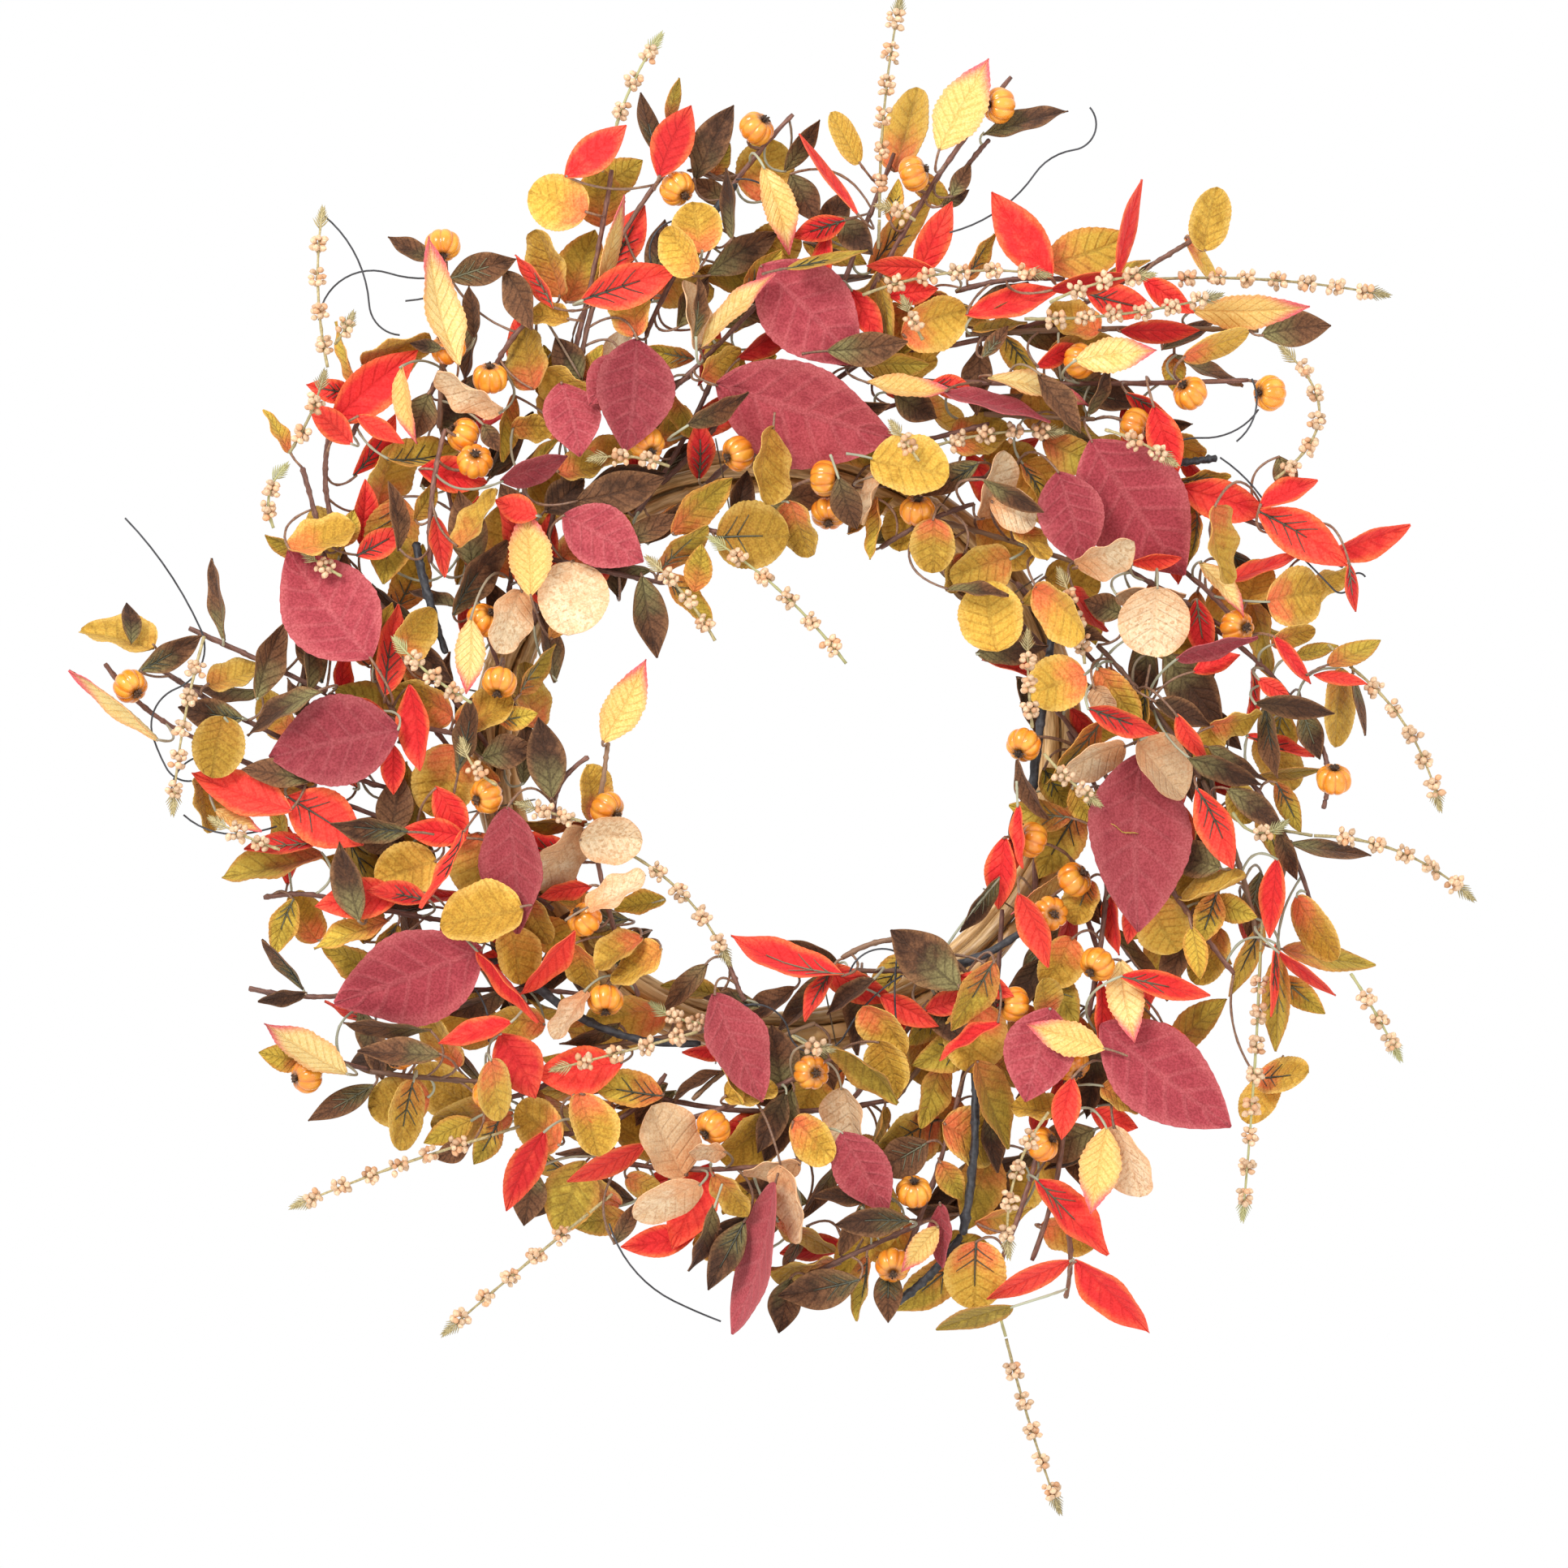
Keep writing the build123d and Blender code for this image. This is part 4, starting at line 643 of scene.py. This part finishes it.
SECTORS = ("right", "upper_right", "top", "upper_left", "left", "lower_left", "bottom", "lower_right")
for sector in SECTORS:
    piece = Piece()
    for points in islands(f"twigs_{sector}"):
        line = centreline(points)(np.linspace(0, 1, 46))
        radii = knobbly(line, 46, TWIG_RADIUS, 0.12, TWIG_NODES)
        radii[[0, -1]] *= 0.8
        tint = rng.uniform(0, 1, 3) * [0.7, 1, 1]
        tube(piece, line, radii, 10, tint, 0.35, rng.uniform(0, 99), 0.35)
    piece.build(f"twig_stems_{sector}", TWIG, "wreath", "twig", (f"twigs_{sector}",))

black = Piece()
for points in islands("black_twigs"):
    line = centreline(points)(np.linspace(0, 1, 60))
    radii = knobbly(line, 60, BLACK_RADIUS, 0.28, BLACK_NODES)
    radii[[0, -1]] *= 0.6
    tube(black, line, radii, 14, rng.uniform(0, 1, 3), 0.42, rng.uniform(0, 99), 0.25)
black.build("black_twig_stems", BLACK, "wreath", "black", ("black_twigs",))

# ---------------------------------------------------------------- canes

CANE_ROWS = 620
for number, node in enumerate(["vine_core"] + [f"vine_cane_{k}" for k in range(1, 7)]):
    points = islands(node)[0]
    middle = points.mean(0)
    normal = np.linalg.svd(points - middle, full_matrices=False)[2][2]
    normal = normal * (1 if normal @ FRONT > 0 else -1)
    right = unit(np.cross([0.0, 0.0, 1.0], normal)) * -1
    up = np.cross(normal, right)
    x, y = (points - middle) @ right, (points - middle) @ up
    circle = np.stack([2 * x, 2 * y, np.ones(len(x))], 1)
    (cx, cy, _), *_ = np.linalg.lstsq(circle, x**2 + y**2, rcond=None)
    centre = middle + cx * right + cy * up
    angle = np.sort(np.degrees(np.arctan2((points - centre) @ up, (points - centre) @ right)) % 360)
    gaps = np.diff(np.append(angle, angle[0] + 360))
    start, turn = angle[(gaps.argmax() + 1) % len(angle)], 360 - gaps.max()
    a = np.radians(start + turn * np.linspace(0, 1, CANE_ROWS))
    wander = np.array([[noise.noise(Vector((number * 7.1 + w * 31, 0, i * 0.02))) for w in range(2)]
                       for i in range(CANE_ROWS)])
    reach = RING_RADIUS + 0.7 * MM * wander[:, 0]
    lift = 0.6 * MM * wander[:, 1]
    line = centre + (np.cos(a) * reach)[:, None] * right + (np.sin(a) * reach)[:, None] * up
    line = line + lift[:, None] * normal
    piece = Piece()
    uneven = 1 + 0.05 * np.sin(np.linspace(0, 19, CANE_ROWS) + number)
    radii = knobbly(line, CANE_ROWS, CANE_RADIUS, 0.0, CANE_NODES) * uneven
    tube(piece, line, radii, 18, rng.uniform(0, 1, 3), 0.16, number * 13.0, 0.06)
    piece.build(f"{node}_bark", CANE, "wreath", "cane", (node,))

# ---------------------------------------------------------------- pumpkins


def pumpkin_shell(rows=33, columns=64):
    """A squat ribbed fruit about the origin, standing on +Z with its flower end up."""
    t = np.linspace(0.002, np.pi - 0.002, rows)[:, None]
    f = np.linspace(0, TURN, columns, endpoint=False)[None]
    groove = 1 - np.abs(np.sin(PUMPKIN_LOBES / 2 * f)) ** 0.55
    out = PUMPKIN_RADIUS * np.sin(t) ** 0.86 * (1 - 0.13 * groove * np.sin(t) ** 0.5)
    end, height = np.sign(np.cos(t)), np.abs(np.cos(t)) ** 0.92
    up = PUMPKIN_HALF_HEIGHT * end * height * (1 - 0.10 * groove * np.sin(t))
    up = up - 2.3 * MM * end * np.exp(-((out / (3.0 * MM)) ** 2))
    points = np.stack([out * np.cos(f), out * np.sin(f), up + 0 * f], -1).reshape(-1, 3)
    flat = np.stack([t / np.pi + 0 * f, f / TURN + 0 * t], -1).reshape(-1, 2)
    return points, grid_quads(rows, columns, closed=True)[:, ::-1], flat


def flower_shell(piece, where, turn, tint):
    """Dry sepals round a small crown."""
    for k in range(SEPALS):
        a = turn + TURN * k / SEPALS + rng.uniform(-0.2, 0.2)
        out = np.array([math.cos(a), math.sin(a), 0])
        reach = rng.uniform(2.2, 3.6)
        line = np.array([out * s * reach + [0, 0, 5.3 + 3.0 * math.sin(s * 2.1) * rng.uniform(0.75, 1.1)]
                         for s in np.linspace(0.05, 1, 5)]) * MM
        radii = np.array([0.8, 0.85, 0.75, 0.55, 0.15]) * MM
        tube(piece, where(line), radii, 6, tint, 0.5, rng.uniform(0, 99))
    crown = np.array([[0, 0, 4.6], [0, 0, 6.2], [0.1, 0, 7.4], [0.2, 0.1, 8.4]]) * MM
    tube(piece, where(crown), np.array([1.5, 1.4, 1.1, 0.7]) * MM, 9, tint, 0.5, rng.uniform(0, 99))


flower_places = np.array([points.mean(0) for points in islands("pumpkin_flowers")])
fruits, flowers = Piece(), Piece()
shell, shell_quads, shell_flat = pumpkin_shell()
for points in islands("pumpkins"):
    middle = (points.min(0) + points.max(0)) / 2
    nearest = flower_places[np.linalg.norm(flower_places - middle, axis=1).argmin()]
    axis = unit(nearest - middle)
    middle = nearest - axis * 7.0 * MM
    side = unit(np.cross(axis, [0.3, 0.2, 1.0]))
    basis = np.stack([side, np.cross(axis, side), axis])
    turn, squash = rng.uniform(0, ANY_ANGLE), rng.uniform(0.94, 1.0)
    spin = np.array([[math.cos(turn), math.sin(turn), 0], [-math.sin(turn), math.cos(turn), 0], [0, 0, 1]])
    tint = rng.uniform(0, 1, 3)
    fruits.add(middle + (shell * [1, squash, 1]) @ spin @ basis, shell_quads, shell_flat, tint)
    flower_shell(flowers, lambda line: middle + line @ basis, turn, tint)
fruits.build("ribbed_pumpkins", PUMPKIN, "wreath", "pumpkin", ("pumpkins",))
flowers.build("withered_flowers", FLOWER, "wreath", "dry_flower", ("pumpkin_flowers",))
stems = Piece()
for points in islands("pumpkin_stalks"):
    middle = centreline(points)(np.linspace(0, 1, 14))
    radii = knobbly(middle, 14, STRAND_RADIUS, 0.0, STALK_NODES)
    tube(stems, middle, radii, 8, rng.uniform(0, 0.5, 3), 0.2, rng.uniform(0, 99))
stems.build("pumpkin_stalks_moulded", STALK, "wreath", "stalk", ("pumpkin_stalks",))

# ---------------------------------------------------------------- berry strands


def berry_shell(rows=8, columns=11):
    """A small berry about the origin, a little pointed at +Z."""
    t = np.linspace(0.01, np.pi - 0.01, rows)[:, None]
    f = np.linspace(0, TURN, columns, endpoint=False)[None]
    out = BERRY_RADIUS * np.sin(t) + 0 * f
    up = BERRY_RADIUS * np.cos(t) * 1.12 + 0.35 * MM * np.exp(-((t / 0.35) ** 2)) + 0 * f
    points = np.stack([out * np.cos(f), out * np.sin(f), up], -1).reshape(-1, 3)
    flat = np.stack([t / np.pi + 0 * f, f / TURN + 0 * t], -1).reshape(-1, 2)
    return points, grid_quads(rows, columns, closed=True)[:, ::-1], flat


berry_points, berry_quads, berry_flat = berry_shell()


def dress_strands(name, stem_node, berry_node, body):
    """Stems with ferny tips, and berries that point away from them."""
    stems, fruit = Piece(), Piece()
    lines = [centreline(points) for points in islands(stem_node)]
    samples = np.vstack([line(np.linspace(0, 1, 60)) for line in lines])
    for line in lines:
        middle = line(np.linspace(0, 1, 30))
        ends = np.linalg.norm(middle[[0, -1]] - RING_CENTRE, axis=1)
        if ends[0] > ends[1]:
            middle = middle[::-1]
        tint = rng.uniform(0, 1, 3)
        radii = knobbly(middle, 30, STRAND_RADIUS, 0.35, STRAND_NODES)
        tube(stems, middle, radii, 7, tint, 0.2, rng.uniform(0, 99))
        forward = unit(middle[-1] - middle[-4])
        across = unit(np.cross(forward, FRONT))
        for k in range(NEEDLES):
            root = middle[-1] - forward * (10.5 - 0.75 * k) * MM
            way = across * (1 if k % 2 else -1) + FRONT * rng.uniform(-0.5, 0.5)
            lean = unit(forward * 1.1 + way * (1.0 - 0.05 * k))
            reach = (6.6 - 0.28 * k) * MM
            needle = np.array([root, root + lean * reach * 0.5, root + lean * reach + forward * 0.6 * MM])
            tube(stems, needle, np.array([0.35, 0.5, 0.1]) * MM, 5, tint)
    stems.build(f"{name}_stems", STRAND, body, "strand", (stem_node,))
    for points in islands(berry_node):
        middle = (points.min(0) + points.max(0)) / 2
        nearest = samples[np.linalg.norm(samples - middle, axis=1).argmin()]
        away = unit(middle - nearest + rng.normal(0, 0.4 * MM, 3))
        side = unit(np.cross(away, [0.3, 0.2, 1.0]))
        basis = np.stack([side, np.cross(away, side), away])
        size = rng.uniform(0.86, 1.22)
        middle = middle + away * rng.uniform(0, 1.1) * MM + rng.normal(0, 0.55 * MM, 3)
        tint = rng.uniform(0, 1, 3) * [0.8, 1, 1]
        fruit.add(middle + berry_points * size @ basis, berry_quads, berry_flat, tint)
    fruit.build(f"{name}_fruit", BERRY, body, "berry", (berry_node,))


dress_strands("tied_strands", "berry_stems", "berries", "wreath")
root_pieces = Piece()
for points in islands("strand_roots"):
    middle = centreline(points)(np.linspace(0, 1, 10))
    tube(root_pieces, middle, STRAND_RADIUS, 8, rng.uniform(0, 1, 3), 0.2, rng.uniform(0, 99))
root_pieces.build("strand_root_stems", STRAND, "wreath", "strand", ("strand_roots",))
for body in STRAND_BODIES:
    dress_strands(body, f"{body}_stem", f"{body}_berries", body)

# ---------------------------------------------------------------- the wires and tendrils, as in the CAD

KEPT = {"binding_wire": WIRE, "hanger_yoke": WIRE, "hanger_eye": WIRE, "black_tendrils": BLACK}
for node, look in KEPT.items():
    for slot in frame["nodes"][node].material_slots:
        slot.material = look

# ---------------------------------------------------------------- stage, light and camera

FLOOR_DROP = 0.30
low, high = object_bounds()
floor_mesh = bpy.data.meshes.new("pale_floor")
depth = low[2] - FLOOR_DROP
corners = [(-1.6, -1.6, depth), (1.6, -1.6, depth), (1.6, 1.4, depth), (-1.6, 1.4, depth)]
floor_mesh.from_pydata(corners, [], [(0, 1, 2, 3)])
floor = bpy.data.objects.new("pale_floor", floor_mesh)
bpy.context.scene.collection.objects.link(floor)
pale = plain_material("pale_floor", (0.86, 0.86, 0.855), (0.88, 0.88, 0.875), 0.9, 8.0, 0.02)
floor_mesh.materials.append(pale)
floor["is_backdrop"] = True

world = bpy.data.worlds.new("studio")
bpy.context.scene.world = world
world.use_nodes = True
world.node_tree.nodes["Background"].inputs[0].default_value = (1, 1, 1, 1)
world.node_tree.nodes["Background"].inputs[1].default_value = 1.0


def lamp(name, place, power, size):
    light = bpy.data.lights.new(name, "AREA")
    light.energy, light.size = power, size
    made = bpy.data.objects.new(name, light)
    made.location = place
    made.rotation_euler = (Vector(RING_CENTRE) - Vector(place)).to_track_quat("-Z", "Y").to_euler()
    bpy.context.scene.collection.objects.link(made)


lamp("key", (-1.1, -1.9, 1.1), 42.0, 0.9)
lamp("fill", (1.6, -1.7, 0.2), 9.0, 1.4)

CAMERA_AWAY = 2.6  # from the plane of the leaves that the photo was measured in
LEAF_PLANE = -0.04
PHOTO_WIDTH = 0.831  # how much of that plane the photo shows
camera_data = bpy.data.cameras.new("camera")
camera_data.sensor_width, camera_data.lens = 36.0, 36.0 * CAMERA_AWAY / PHOTO_WIDTH
camera = bpy.data.objects.new("camera", camera_data)
camera.location = (0.0034, LEAF_PLANE - CAMERA_AWAY, RING_CENTRE[2] - 0.0176)
camera.rotation_euler = (math.pi / 2, 0, 0)
bpy.context.scene.collection.objects.link(camera)
bpy.context.scene.camera = camera
bpy.context.scene.view_settings.view_transform = "Standard"

low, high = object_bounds()
